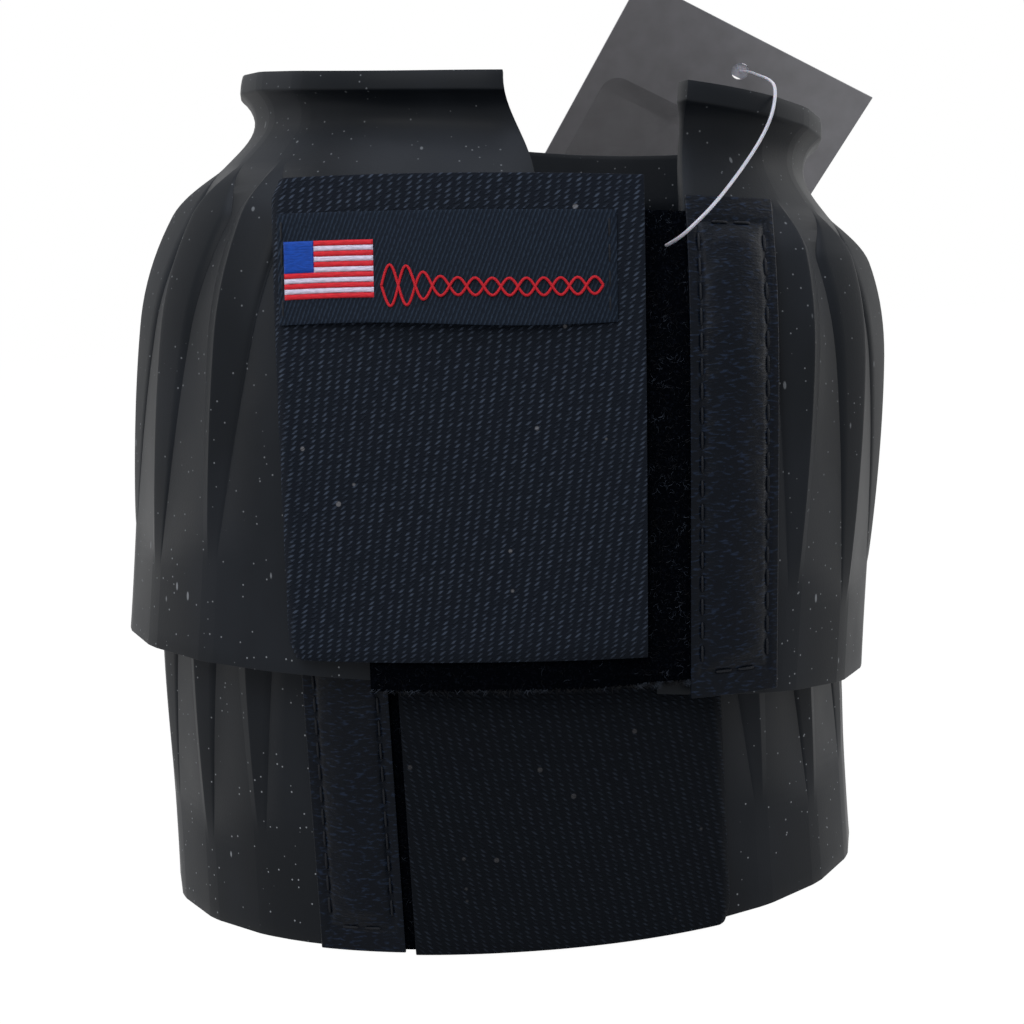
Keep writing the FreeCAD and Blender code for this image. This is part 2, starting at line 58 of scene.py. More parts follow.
# ---- the object's driving dimensions, in millimetres and degrees ----------------------------
# They are those of its solids, but for the lip's sharper edge and rim.
WALL_HEIGHT = 75.0
SHOULDER_HEIGHT = 109.5
NECK_HEIGHT = 125.2
NECK_INSET = 25.0
LIP_HEIGHT = 7.5
LIP_REACH = 3.7
LIP_BEAD = 4.4
LIP_EDGE = 0.6
LIP_LINE = NECK_HEIGHT + LIP_HEIGHT
RIM_ROUND = 0.5
SHELL_PROFILE = [  # height, inset from the hem, slope of the inset
    (0.0, 0.0, 3.1 / WALL_HEIGHT),
    (WALL_HEIGHT, 3.1, 0.1),
    (SHOULDER_HEIGHT, 15.0, 0.62),
    (NECK_HEIGHT, NECK_INSET, 0.0),
    (LIP_LINE - LIP_EDGE, NECK_INSET - LIP_REACH + LIP_EDGE, -1.2),
    (LIP_LINE, NECK_INSET - LIP_REACH, 0.0),
    (LIP_LINE + LIP_BEAD, NECK_INSET - LIP_REACH + RIM_ROUND, 0.3),
]
FLAP_SHOULDER = 114.0
FLAP_PROFILE = SHELL_PROFILE[:2] + [(FLAP_SHOULDER, 9.0, 0.25)]
BELL_HEIGHT = SHELL_PROFILE[-1][0]
WALL = 2.6
BACK_DIP = 14.0
ARCH_HEIGHT = 75.0
BACK_POWER = 2.1
BROW_AZIMUTH = -35.0
BROW_POWER = 4

RIB_TOP = 113.0
RIB_FULL = 100.0
RIB_FOOT = 26.0
RIB_FOOT_STEP = 5.0
FIRST_RIB = 48.5
RIB_POINT_SHARE = 0.25
RIB_FADE = 0.7

TAPE_WIDTH = 101.6
HOOK_TAPE = 1.2
LOOP_TAPE = 1.8
SEAM_GAP = 0.2
FLAP_GAP = 0.4
LOOP_RAMP = 12.0
LEAF_MARGIN = 2.5
LEAF_TOP = SEAM_GAP + HOOK_TAPE
ROOT_TOP = SEAM_GAP + LOOP_TAPE
LOOP_LOW = LEAF_TOP + FLAP_GAP
LOOP_TOP = LOOP_LOW + LOOP_TAPE
FLAP_LOW = LOOP_TOP + FLAP_GAP
FLAP_TOP = FLAP_LOW + HOOK_TAPE
STRIP_LOW = ROOT_TOP + SEAM_GAP
STRIP_LAP = 3.0
LABEL_LOW = FLAP_TOP + SEAM_GAP / 2
TAPE_MIDDLE = TAPE_WIDTH / 2
TILT_HEIGHT = 20.0

FILAMENT_ROUTE = [
    (41.3, -67.4, 155.3),
    (43.6, -71.6, 156.5),
    (47.5, -72.8, 159.8),
    (51.8, -68.5, 163.3),
    (56.9, -61.0, 168.1),
    (62.0, -54.0, 173.5),
    (66.0, -49.5, 178.6),
    (68.5, -47.6, 183.3),
    (70.5, -41.0, 189.4),
    (71.0, -25.5, 192.6),
    (71.6, -6.0, 195.2),
    (73.4, 20.0, 198.6),
    (74.5, 45.0, 201.0),
]

Boot = namedtuple(
    "Boot",
    "name half_width front_depth back_depth front_power arch spine flap_end loop_end bend"
    " strip_start strip_end split_hook split_hook_rim split_loop tape_foot loop_foot"
    " strip_foot strip_height twist fan collar_lift collar_shift brow_dip rib_height mirrored tilt"
    " at seed",
)
LOWER = Boot(
    name="lower", half_width=88.2, front_depth=69.7, back_depth=66.8, front_power=2.1,
    arch=0.0, spine=-49.0, flap_end=22.9, loop_end=-30.0, bend=23.4, strip_start=25.3,
    strip_end=45.0, split_hook=-2.0, split_hook_rim=-5.0, split_loop=26.0, tape_foot=0.6,
    loop_foot=0.6, strip_foot=0.4, strip_height=104.0, twist=0.0, fan=0.0,
    collar_lift=0.0, collar_shift=0.0, brow_dip=0.0, rib_height=2.2, mirrored=True, tilt=0.0,
    at=(0.0, 0.0, 0.0), seed=3,
)
UPPER = Boot(
    name="upper", half_width=92.8, front_depth=76.5, back_depth=71.3, front_power=2.4,
    arch=3.0, spine=-48.0, flap_end=29.2, loop_end=-30.8, bend=31.0, strip_start=38.9,
    strip_end=59.2, split_hook=2.5, split_hook_rim=-6.0, split_loop=35.0, tape_foot=9.6,
    loop_foot=2.9, strip_foot=-0.8, strip_height=108.0, twist=-3.9, fan=2.1,
    collar_lift=4.3, collar_shift=1.5, brow_dip=4.0, rib_height=3.4, mirrored=False,
    tilt=6.5, at=(1.3, -1.0, 59.5), seed=8,
)
BOOTS = (LOWER, UPPER)


def origin_of_pair():
    """Where the lower boot's middle lies: half way across its hem, a back depth ahead of it."""
    hem = [v.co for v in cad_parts["lower_shell"].data.vertices if v.co.z < MM]
    across = [p.x for p in hem]
    return (min(across) + max(across)) / 2 / MM, max(p.y for p in hem) / MM - LOWER.back_depth, 0.0


ORIGIN = np.array(origin_of_pair())


# ---- settings -----------------------------------------------------------------------------
def length(name, default, description):
    """A size in millimetres, kept as Blender's metres."""
    return bpy.props.FloatProperty(
        name=name, default=default * MM, description=description, unit="LENGTH", precision=5
    )


def share(name, default, description):
    return bpy.props.FloatProperty(
        name=name, default=default, description=description, subtype="FACTOR", min=0, max=1
    )


def linear(code):
    """An sRGB hex colour as the linear RGB that shaders take."""
    parts = [int(code[i : i + 2], 16) / 255 for i in (1, 3, 5)]
    return tuple(c / 12.92 if c <= 0.04045 else ((c + 0.055) / 1.055) ** 2.4 for c in parts)


def colour(name, code, description):
    return bpy.props.FloatVectorProperty(
        name=name, default=linear(code), description=description, subtype="COLOR", min=0, max=1
    )


class BellSettings(bpy.types.PropertyGroup):
    """The moulded bells."""

    rib_count: bpy.props.IntProperty(name="Ribs", default=21, description="Ribs round a bell")
    rib_front: share("Front slope", 0.6, "Share of the pitch on the slope that faces the front")
    rib_back: share("Back slope", 0.3, "Share of the pitch on the slope behind the crest")
    rib_groove: length("Rib groove", 0.7, "Depth of the groove at the foot of the front slope")
    rim_bevel: length("Rim bevel", 0.7, "Rounding of the rubber's cut edges")
    rubber: colour("Rubber", "#111418", "Natural rubber, dyed black and a little dusty")


class TapeSettings(bpy.types.PropertyGroup):
    """The hook and loop tapes of the closure."""

    edge: length("Edge rounding", 0.25, "Rounding of the tapes' edges")
    hook: colour("Hook tape", "#11151c", "Ground of the woven hook tape")
    bead: colour("Hook tape beads", "#363e4b", "Raised threads of the weave")
    pile: colour("Loop pile", "#030407", "Fuzzy loop tape")
    fibre_count: bpy.props.IntProperty(name="Fibres", default=2600, description="Stray pile loops")
    fibre_length: length("Fibre length", 1.5, "Length of a pile loop")


class StripSettings(bpy.types.PropertyGroup):
    """The leatherette strip and the stitching."""

    puff: length("Padding", 1.5, "How far the padded middle stands up")
    thickness: length("Thickness", 1.0, "Leatherette with its backing")
    seam: length("Seam to edge", 2.6, "From the side seams to the strip's edge")
    seam_ends: length("Seam to end", 5.5, "From the end seams to the strip's end")
    thread: length("Thread", 0.6, "Thickness of the sewing thread")
    stitch: length("Stitch", 3.9, "Length of one stitch")
    pitch: length("Pitch", 5.2, "From one stitch to the next")
    leatherette: colour("Leatherette", "#070b12", "Coated cloth, black")
    thread_colour: colour("Thread colour", "#0a0b0e", "Black polyester thread")


class LabelSettings(bpy.types.PropertyGroup):
    """The woven label with its flag and its border."""

    long: length("Length", 70.5, "Length of the label")
    high: length("Height", 22.7, "Height of the label")
    thick: length("Thickness", 0.4, "Thickness of the label")
    drop: length("Drop", 7.3, "Below the closure flap's upper edge")
    start: length("Start", 0.8, "From the spine")
    cloth: colour("Label cloth", "#0f151e", "Black damask")
    blue: colour("Flag blue", "#103e93", "Canton of the flag")
    red: colour("Flag red", "#c4232e", "Red stripes and the border")
    white: colour("Flag white", "#c6bfd2", "White stripes")


class TagSettings(bpy.types.PropertyGroup):
    """The hang tag's card and its nylon filament."""

    card: colour("Card", "#838286", "Coated grey card")
    filament: length("Filament", 0.8, "Diameter of the nylon filament")
    nylon: colour("Nylon", "#c9c9d2", "Clear nylon")


class StageSettings(bpy.types.PropertyGroup):
    """Camera, lamps and backdrop."""

    camera: bpy.props.FloatVectorProperty(
        name="Camera", default=(4.67 * MM, -451.7 * MM, 156.2 * MM), unit="LENGTH",
        description="Place of the camera from the lower boot's middle",
    )
    pitch: bpy.props.FloatProperty(name="Pitch", default=8.41, description="Degrees downwards")
    roll: bpy.props.FloatProperty(name="Roll", default=-3.46, description="Degrees")
    lens: bpy.props.FloatProperty(name="Lens", default=62.07, description="Focal length, mm")
    side_lamp: bpy.props.FloatProperty(name="Side lamps", default=2.0, description="Watts")
    front_lamp: bpy.props.FloatProperty(name="Front lamp", default=5.0, description="Watts")
    top_lamp: bpy.props.FloatProperty(name="Top lamp", default=7.0, description="Watts")
    world: bpy.props.FloatProperty(name="World", default=0.5, description="Strength")


GROUPS = {
    "bell": BellSettings,
    "tape": TapeSettings,
    "strip": StripSettings,
    "label": LabelSettings,
    "tag": TagSettings,
    "stage": StageSettings,
}


def settings(group):
    return getattr(bpy.context.scene, f"boots_{group}")


def millimetres(group, name):
    return getattr(settings(group), name) / MM


# ---- shape of a boot ------------------------------------------------------------------------
def smooth(value):
    """0 below 0, 1 above 1, and a smooth step between."""
    value = np.clip(value, 0.0, 1.0)
    return value * value * (3 - 2 * value)


def spread(start, end, count):
    return list(np.linspace(start, end, count))


def inset_at(profile, height):
    """Inset of a profile at heights, and its slope, by cubics between the knots."""
    inset, slope = np.zeros_like(height), np.zeros_like(height)
    for index, (low, high) in enumerate(zip(profile, profile[1:])):
        last = index == len(profile) - 2
        inside = (height > low[0] if index else height > -np.inf) & (last | (height <= high[0]))
        span = high[0] - low[0]
        t = (height - low[0]) / span
        ends = low[1] * (1 - 3 * t**2 + 2 * t**3) + high[1] * (3 * t**2 - 2 * t**3)
        bends = low[2] * (t - 2 * t**2 + t**3) + high[2] * (t**3 - t**2)
        rate = (high[1] - low[1]) / span * (6 * t - 6 * t**2)
        tangent = rate + low[2] * (1 - 4 * t + 3 * t**2) + high[2] * (3 * t**2 - 2 * t)
        inset = np.where(inside, ends + bends * span, inset)
        slope = np.where(inside, tangent, slope)
    return inset, slope


def plan(boot, azimuth):
    """Point and outward normal of the hem's outline, at azimuths from the front."""
    side, ahead = np.sin(azimuth), np.cos(azimuth)
    depth = np.where(ahead < 0, boot.back_depth, boot.front_depth)
    power = np.where(ahead < 0, BACK_POWER, boot.front_power)
    wide, deep = np.abs(side) / boot.half_width, np.abs(ahead) / depth
    radius = (wide**power + deep**power) ** (-1 / power)
    out_x = np.sign(side) * (radius * wide) ** (power - 1) / boot.half_width
    out_y = -np.sign(ahead) * (radius * deep) ** (power - 1) / depth
    size = np.hypot(out_x, out_y)
    return radius * side, -radius * ahead, out_x / size, out_y / size


def brow_sag(boot, azimuth, height):
    """How far the front of the collar has sagged, above the stiff flaps."""
    facing = np.maximum(0, np.cos(azimuth - math.radians(BROW_AZIMUTH))) ** BROW_POWER
    return boot.brow_dip * facing * smooth((height - FLAP_SHOULDER) / (BELL_HEIGHT - FLAP_SHOULDER))


def bell_point(boot, azimuth, height, inset, slope=0.0, rise=0.0):
    """Points at an inset from the hem's outline, raised along the wall's normal."""
    x, y, out_x, out_y = plan(boot, azimuth)
    lean = np.sqrt(1 + np.square(slope))
    away = rise / lean - inset
    collar = smooth((height - WALL_HEIGHT) / (NECK_HEIGHT - WALL_HEIGHT))
    dip = BACK_DIP * (1 - np.cos(azimuth)) / 2 - boot.collar_lift * ((1 - np.sin(azimuth)) / 2) ** 2
    x, y = x + out_x * away + boot.collar_shift * collar, y + out_y * away
    dip = dip * collar + brow_sag(boot, azimuth, height)
    return np.stack([x, y, height - dip + rise * slope / lean], -1)


def wall_at(height, stiff=0.0):
    """Inset and slope of the wall; a stiff layer bridges the shoulder."""
    shell, flap = inset_at(SHELL_PROFILE, height), inset_at(FLAP_PROFILE, height)
    return [a + (b - a) * stiff for a, b in zip(shell, flap)]


def azimuth_at(boot, across, height, inset, slope, rise=0.0):
    """Azimuths of the points of the front wall that lie this far across."""
    low = np.full(np.shape(height), math.radians(-85))
    high = -low
    for _ in range(32):
        middle = (low + high) / 2
        short = bell_point(boot, middle, height, inset, slope, rise)[..., 0] < across
        low, high = np.where(short, middle, low), np.where(short, high, middle)
    return middle


def front_point(boot, across, up, rise, stiff=0.0):
    """Points of the closure: across and up are turned by the twist, rise is off the shell."""
    across, up = np.broadcast_arrays(np.asarray(across, float), np.asarray(up, float))
    fanned = np.maximum(0, (boot.flap_end - across) / (boot.flap_end - boot.spine))
    across = across - boot.fan * fanned * up / TAPE_WIDTH
    twist = math.radians(boot.twist)
    above = up - TAPE_MIDDLE
    x = across * math.cos(twist) + above * math.sin(twist)
    height = TAPE_MIDDLE - across * math.sin(twist) + above * math.cos(twist)
    inset, slope = wall_at(height, stiff)
    azimuth = azimuth_at(boot, x, height, inset, slope, rise)
    return bell_point(boot, azimuth, height, inset, slope, rise)


def placed(boot, points):
    """Takes points from the boot's own upright frame to metres in the pair's frame."""
    points = np.array(points, float)
    if boot.mirrored:
        points[..., 0] *= -1
    tilt = math.radians(boot.tilt)
    x, z = points[..., 0].copy(), points[..., 2] - TILT_HEIGHT
    points[..., 0] = x * math.cos(tilt) + z * math.sin(tilt)
    points[..., 2] = z * math.cos(tilt) - x * math.sin(tilt) + TILT_HEIGHT
    return (points + boot.at + ORIGIN) * MM


def on_front(boot, across, up, rise, stiff=0.0):
    return placed(boot, front_point(boot, across, up, rise, stiff))


def tape_rows(foot, count=60):
    """Heights along a tape, closer together on the shoulder."""
    bend = foot + 0.6 * TAPE_WIDTH
    low = count // 3
    return spread(foot, bend, low) + spread(bend, foot + TAPE_WIDTH, count - low + 1)[1:]


# ---- making pieces --------------------------------------------------------------------------
def alone(piece=None):
    """Deselects everything and then selects and activates one piece."""
    bpy.ops.object.select_all(action="DESELECT")
    if piece is not None:
        piece.select_set(True)
        bpy.context.view_layer.objects.active = piece


def apply_modifier(piece, kind, **values):
    alone(piece)
    modifier = piece.modifiers.new(kind.lower(), kind)
    for name, value in values.items():
        setattr(modifier, name, value)
    bpy.ops.object.modifier_apply(modifier=modifier.name)


def in_edit_mode(piece, *steps):
    """Runs edit-mode operators, each a name and its settings, on the whole piece."""
    alone(piece)
    bpy.ops.object.mode_set(mode="EDIT")
    bpy.ops.mesh.select_all(action="SELECT")
    for name, values in steps:
        getattr(bpy.ops.mesh, name)(**values)
    bpy.ops.object.mode_set(mode="OBJECT")


def sheet(name, columns, rows, skins, bevel=0.25, uv=None, angle=40):
    """A closed sheet between two skins.

    A flat grid gets a wall from Solidify and its bevelled border, and then every vertex, which
    knows its column and row from where it lies, is bent onto the outer or the inner skin.
    skins takes columns, rows and a depth from 0 at the outer skin to 1 at the inner one.
    """
    alone()
    bpy.ops.mesh.primitive_grid_add(
        x_subdivisions=len(columns) - 1, y_subdivisions=len(rows) - 1, size=1
    )
    piece = bpy.context.object
    piece.name = piece.data.name = name
    apply_modifier(piece, "SOLIDIFY", thickness=1, offset=-1)
    count = len(piece.data.vertices)
    flat = np.zeros(count * 3)
    piece.data.vertices.foreach_get("co", flat)
    flat = flat.reshape(-1, 3)
    steps = np.rint((flat[:, :2] + 0.5) * [len(columns) - 1, len(rows) - 1]).astype(int)
    column, row = np.array(columns)[steps[:, 0]], np.array(rows)[steps[:, 1]]
    points = skins(column, row, -flat[:, 2])
    piece.data.vertices.foreach_set("co", points.ravel())
    loops = np.zeros(len(piece.data.loops), int)
    piece.data.loops.foreach_get("vertex_index", loops)
    flat_uv = (uv or (lambda c, r: (c, r)))(column, row)
    flat_uv = np.stack(flat_uv, -1)[loops] * MM
    piece.data.uv_layers.active.data.foreach_set("uv", flat_uv.ravel())
    piece.data.update()
    in_edit_mode(piece, ("normals_make_consistent", {"inside": False}))
    if bevel:
        apply_modifier(
            piece, "BEVEL", width=bevel * MM, segments=2, limit_method="ANGLE",
            angle_limit=math.radians(55), harden_normals=False,
        )
    alone(piece)
    bpy.ops.object.shade_smooth_by_angle(angle=math.radians(angle))
    return piece


def front_sheet(name, boot, columns, rows, low, high, stiff=0.0, **options):
    """A sheet of the closure; low, high and stiff are numbers or functions of across and up."""

    def value_of(value, across, up):
        return value(across, up) if callable(value) else value

    def skins(across, up, depth):
        top = value_of(high, across, up)
        rise = top + (value_of(low, across, up) - top) * depth
        return on_front(boot, across, up, rise, value_of(stiff, across, up))

    return sheet(f"{boot.name}_{name}", columns, rows, skins, **options)


def finish(piece, body, slot, material, *replaced):
    """Dresses a piece, hides the solids it stands for and hands it to its body."""
    piece.data.materials.clear()
    piece.data.materials.append(material)
    if replaced:
        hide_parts(*replaced)
    if body:
        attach(piece, body)
    return piece


def body_of(boot, part="boot"):
    """The upper closure's pieces get bodies of their own; the lower one lies under the upper boot's
    skirt.
    """
    if boot is UPPER and part != "boot":
        return part
    return f"{boot.name}_boot"


# ---- materials ------------------------------------------------------------------------------
def add(tree, kind, inputs=(), **values):
    """Adds a node, with its settings, and its input values or links by socket."""
    node = tree.nodes.new(f"ShaderNode{kind}")
    for name, value in values.items():
        setattr(node, name, value)
    for name, value in dict(inputs).items():
        socket = node.inputs[name]
        if isinstance(value, bpy.types.NodeSocket):
            tree.links.new(value, socket)
        elif socket.type == "RGBA" and len(value) == 3:
            socket.default_value = (*value, 1.0)
        else:
            socket.default_value = value
    return node


def per_mm(*sizes):
    """Pattern scales for each axis, from metres and real sizes in millimetres."""
    return [1 / (size * MM) for size in sizes]


def flat_turn(degrees):
    return (0, 0, math.radians(degrees))


def material(name):
    made = bpy.data.materials.new(name)
    made.use_nodes = True
    made.node_tree.nodes.clear()
    return made, made.node_tree


def surface(tree, **sockets):
    """A Principled shader and the output it feeds; underscores in names stand for spaces."""
    inputs = {name.replace("_", " "): value for name, value in sockets.items()}
    shader = add(tree, "BsdfPrincipled", inputs)
    add(tree, "OutputMaterial", {"Surface": shader.outputs[0]})
    return shader


def specks(tree, vector, size, share_kept, radius=0.12):
    """Sparse round specks: cells of a Voronoi pattern, most of them left empty."""
    cells = add(
        tree,
        "TexVoronoi",
        {
            "Vector": add(
                tree, "Mapping", {"Vector": vector, "Scale": per_mm(size, size, size)}
            ).outputs[0],
            "Scale": 1.0,
        },
    )
    near = add(
        tree,
        "MapRange",
        {"Value": cells.outputs["Distance"], "From Min": radius * 1.6, "From Max": radius},
        interpolation_type="SMOOTHSTEP",
    ).outputs[0]
    red = add(tree, "SeparateColor", {"Color": cells.outputs["Color"]}).outputs[0]
    kept = add(tree, "Math", {0: red, 1: share_kept}, operation="LESS_THAN").outputs[0]
    return add(tree, "Math", {0: near, 1: kept}, operation="MULTIPLY").outputs[0]


def moulded_rubber():
    """Natural rubber from a steel mould: matt, with faint flow marks, dust specks and scuffs."""
    made, tree = material("moulded_rubber")
    where = add(tree, "TexCoord").outputs["Object"]
    cloudy = add(
        tree,
        "TexNoise",
        {
            "Vector": add(
                tree, "Mapping", {"Vector": where, "Scale": per_mm(34, 34, 50)}
            ).outputs[0],
            "Scale": 1.0,
            "Detail": 4,
        },
    ).outputs[0]
    bloom = add(
        tree,
        "MapRange",
        {"Value": cloudy, "From Min": 0.42, "From Max": 0.7, "To Min": 0.0, "To Max": 0.55},
        interpolation_type="SMOOTHSTEP",
    ).outputs[0]
    base = add(
        tree, "Mix", {0: bloom, 6: settings("bell").rubber, 7: linear("#1e2126")}, data_type="RGBA"
    ).outputs[2]
    low = add(
        tree,
        "MapRange",
        {
            "Value": add(tree, "SeparateXYZ", {"Vector": where}).outputs[2],
            "From Min": 0.16,
            "From Max": 0.0,
            "To Min": 0.4,
            "To Max": 1.0,
        },
        interpolation_type="SMOOTHSTEP",
    ).outputs[0]
    stretched = add(
        tree,
        "Mapping",
        {"Vector": where, "Scale": per_mm(1000, 1000, 2600), "Rotation": flat_turn(40)},
    ).outputs[0]
    big = specks(tree, stretched, 4.2, 0.22, 0.07)
    small = specks(tree, where, 1.5, 0.24, 0.11)
    dust = add(
        tree,
        "Math",
        {0: add(tree, "Math", {0: big, 1: small}, operation="MAXIMUM").outputs[0], 1: low},
        operation="MULTIPLY",
    ).outputs[0]
    base = add(
        tree,
        "Mix",
        {
            0: add(tree, "Math", {0: dust, 1: 0.8}, operation="MULTIPLY").outputs[0],
            6: base,
            7: linear("#8f9397"),
        },
        data_type="RGBA",
    ).outputs[2]
    grain = add(
        tree,
        "TexNoise",
        {
            "Vector": add(
                tree, "Mapping", {"Vector": where, "Scale": per_mm(0.5, 0.5, 0.5)}
            ).outputs[0],
            "Scale": 1.0,
            "Detail": 3,
        },
    ).outputs[0]
    smoothness = add(
        tree,
        "MapRange",
        {"Value": cloudy, "From Min": 0.3, "From Max": 0.7, "To Min": 0.4, "To Max": 0.52},
        interpolation_type="SMOOTHSTEP",
    ).outputs[0]
    rough = add(tree, "Math", {0: dust, 1: 0.2, 2: smoothness}, operation="MULTIPLY_ADD").outputs[0]
    normal = add(
        tree,
        "Bump",
        {
            "Height": grain,
            "Distance": 0.02 * MM,
            "Normal": add(tree, "Bump", {"Height": dust, "Distance": 0.04 * MM}).outputs[0],
        },
    ).outputs[0]
    surface(
        tree, Base_Color=base, Roughness=rough, Normal=normal, IOR=1.52, Specular_IOR_Level=0.08
    )
    return made


def woven_height(tree, where, wide, high, slant):
    """Staggered beads of a weave: the product of two waves that lean against each other."""
    parts = add(tree, "SeparateXYZ", {"Vector": where}).outputs
    column = add(
        tree, "Math", {0: parts[1], 1: -slant, 2: parts[0]}, operation="MULTIPLY_ADD"
    ).outputs[0]
    row = add(
        tree, "Math", {0: parts[0], 1: -0.08, 2: parts[1]}, operation="MULTIPLY_ADD"
    ).outputs[0]
    first = add(
        tree,
        "Math",
        {
            0: add(
                tree, "Math", {0: column, 1: 2 * math.pi / (wide * MM)}, operation="MULTIPLY"
            ).outputs[0],
        },
        operation="SINE",
    ).outputs[0]
    second = add(
        tree,
        "Math",
        {
            0: add(
                tree, "Math", {0: row, 1: 2 * math.pi / (high * MM)}, operation="MULTIPLY"
            ).outputs[0],
        },
        operation="SINE",
    ).outputs[0]
    return add(tree, "Math", {0: first, 1: second}, operation="MULTIPLY").outputs[0]


def hook_tape():
    """Woven nylon tape: slanted beads of lighter yarn over a dark blue-black ground, with painted
    shade that darkens it low down.
    """
    made, tree = material("woven_hook_tape")
    where = add(tree, "TexCoord").outputs["UV"]
    stir = add(
        tree,
        "TexNoise",
        {
            "Vector": add(
                tree, "Mapping", {"Vector": where, "Scale": per_mm(2.2, 1.3, 1)}
            ).outputs[0],
            "Scale": 1.0,
            "Detail": 2,
        },
    ).outputs[0]
    sway = add(
        tree,
        "TexNoise",
        {
            "Vector": add(
                tree, "Mapping", {"Vector": where, "Scale": per_mm(2.6, 2.6, 1)}
            ).outputs[0],
            "Scale": 1.0,
        },
    )
    push = add(tree, "VectorMath", {0: sway.outputs[1], "Scale": 0.35 * MM}, operation="SCALE")
    shift = add(tree, "VectorMath", {0: where, 1: push.outputs[0]}, operation="ADD")
    beads = woven_height(tree, shift.outputs[0], 1.9, 2.2, 1.0)
    tops = add(
        tree,
        "MapRange",
        {"Value": beads, "From Min": 0.0, "From Max": 0.75},
        interpolation_type="SMOOTHSTEP",
    ).outputs[0]
    uneven = add(
        tree,
        "Math",
        {
            0: tops,
            1: add(
                tree,
                "MapRange",
                {"Value": stir, "From Min": 0.36, "From Max": 0.66, "To Min": 0.15, "To Max": 1.0},
                interpolation_type="SMOOTHSTEP",
            ).outputs[0],
        },
        operation="MULTIPLY",
    ).outputs[0]
    base = add(
        tree,
        "Mix",
        {0: uneven, 6: settings("tape").hook, 7: settings("tape").bead},
        data_type="RGBA",
    ).outputs[2]
    lint = specks(tree, add(tree, "TexCoord").outputs["Object"], 3.6, 0.05)
    base = add(
        tree,
        "Mix",
        {
            0: add(tree, "Math", {0: lint, 1: 0.35}, operation="MULTIPLY").outputs[0],
            6: base,
            7: linear("#8f8e90"),
        },
        data_type="RGBA",
    ).outputs[2]
    yarn = add(
        tree,
        "TexNoise",
        {
            "Vector": add(
                tree, "Mapping", {"Vector": where, "Scale": per_mm(0.35, 0.18, 1)}
            ).outputs[0],
            "Scale": 1.0,
            "Detail": 2,
        },
    ).outputs[0]
    normal = add(
        tree,
        "Bump",
        {
            "Height": yarn,
            "Distance": 0.08 * MM,
            "Normal": add(tree, "Bump", {"Height": tops, "Distance": 0.2 * MM}).outputs[0],
        },
    ).outputs[0]
    # painted shade: below about 62 to 75 mm up the tape is darkened towards #07090c, a painted
    # shadow for the lower boot's closure under the upper boot's skirt
    low = add(tree, "SeparateXYZ", {"Vector": add(tree, "TexCoord").outputs["Object"]}).outputs[2]
    base = add(
        tree,
        "Mix",
        {
            0: add(
                tree,
                "MapRange",
                {"Value": low, "From Min": 0.062, "From Max": 0.075, "To Min": 0.3, "To Max": 1.0},
                interpolation_type="SMOOTHSTEP",
            ).outputs[0],
            6: linear("#07090c"),
            7: base,
        },
        data_type="RGBA",
    ).outputs[2]
    surface(tree, Base_Color=base, Roughness=0.8, Normal=normal, Specular_IOR_Level=0.05)
    return made


def loop_pile():
    """Brushed loop pile: very dark and soft, with a few lighter fibres."""
    made, tree = material("brushed_loop_pile")
    where = add(tree, "TexCoord").outputs["UV"]
    tuft = add(
        tree,
        "TexNoise",
        {
            "Vector": add(
                tree, "Mapping", {"Vector": where, "Scale": per_mm(0.7, 0.7, 1)}
            ).outputs[0],
            "Scale": 1.0,
            "Detail": 4,
            "Distortion": 1.2,
        },
    ).outputs[0]
    base = add(
        tree,
        "Mix",
        {
            0: add(
                tree,
                "MapRange",
                {"Value": tuft, "From Min": 0.5, "From Max": 0.78},
                interpolation_type="SMOOTHSTEP",
            ).outputs[0],
            6: settings("tape").pile,
            7: linear("#0e1117"),
        },
        data_type="RGBA",
    ).outputs[2]
    surface(
        tree,
        Base_Color=base,
        Roughness=0.9,
        Normal=add(tree, "Bump", {"Height": tuft, "Distance": 0.6 * MM}).outputs[0],
        Specular_IOR_Level=0.0,
    )
    return made


def pile_fibre():
    """Single nylon fibres of the pile, which catch the light."""
    made, tree = material("nylon_pile_fibre")
    tint = add(
        tree,
        "TexNoise",
        {
            "Vector": add(
                tree,
                "Mapping",
                {"Vector": add(tree, "TexCoord").outputs["Object"], "Scale": per_mm(3, 3, 3)},
            ).outputs[0],
            "Scale": 1.0,
            "Detail": 1,
        },
    ).outputs[0]
    base = add(
        tree,
        "Mix",
        {
            0: add(
                tree,
                "MapRange",
                {"Value": tint, "From Min": 0.45, "From Max": 0.75},
                interpolation_type="SMOOTHSTEP",
            ).outputs[0],
            6: linear("#0b0c0f"),
            7: linear("#343a44"),
        },
        data_type="RGBA",
    ).outputs[2]
    surface(tree, Base_Color=base, Roughness=0.6, Specular_IOR_Level=0.1)
    return made


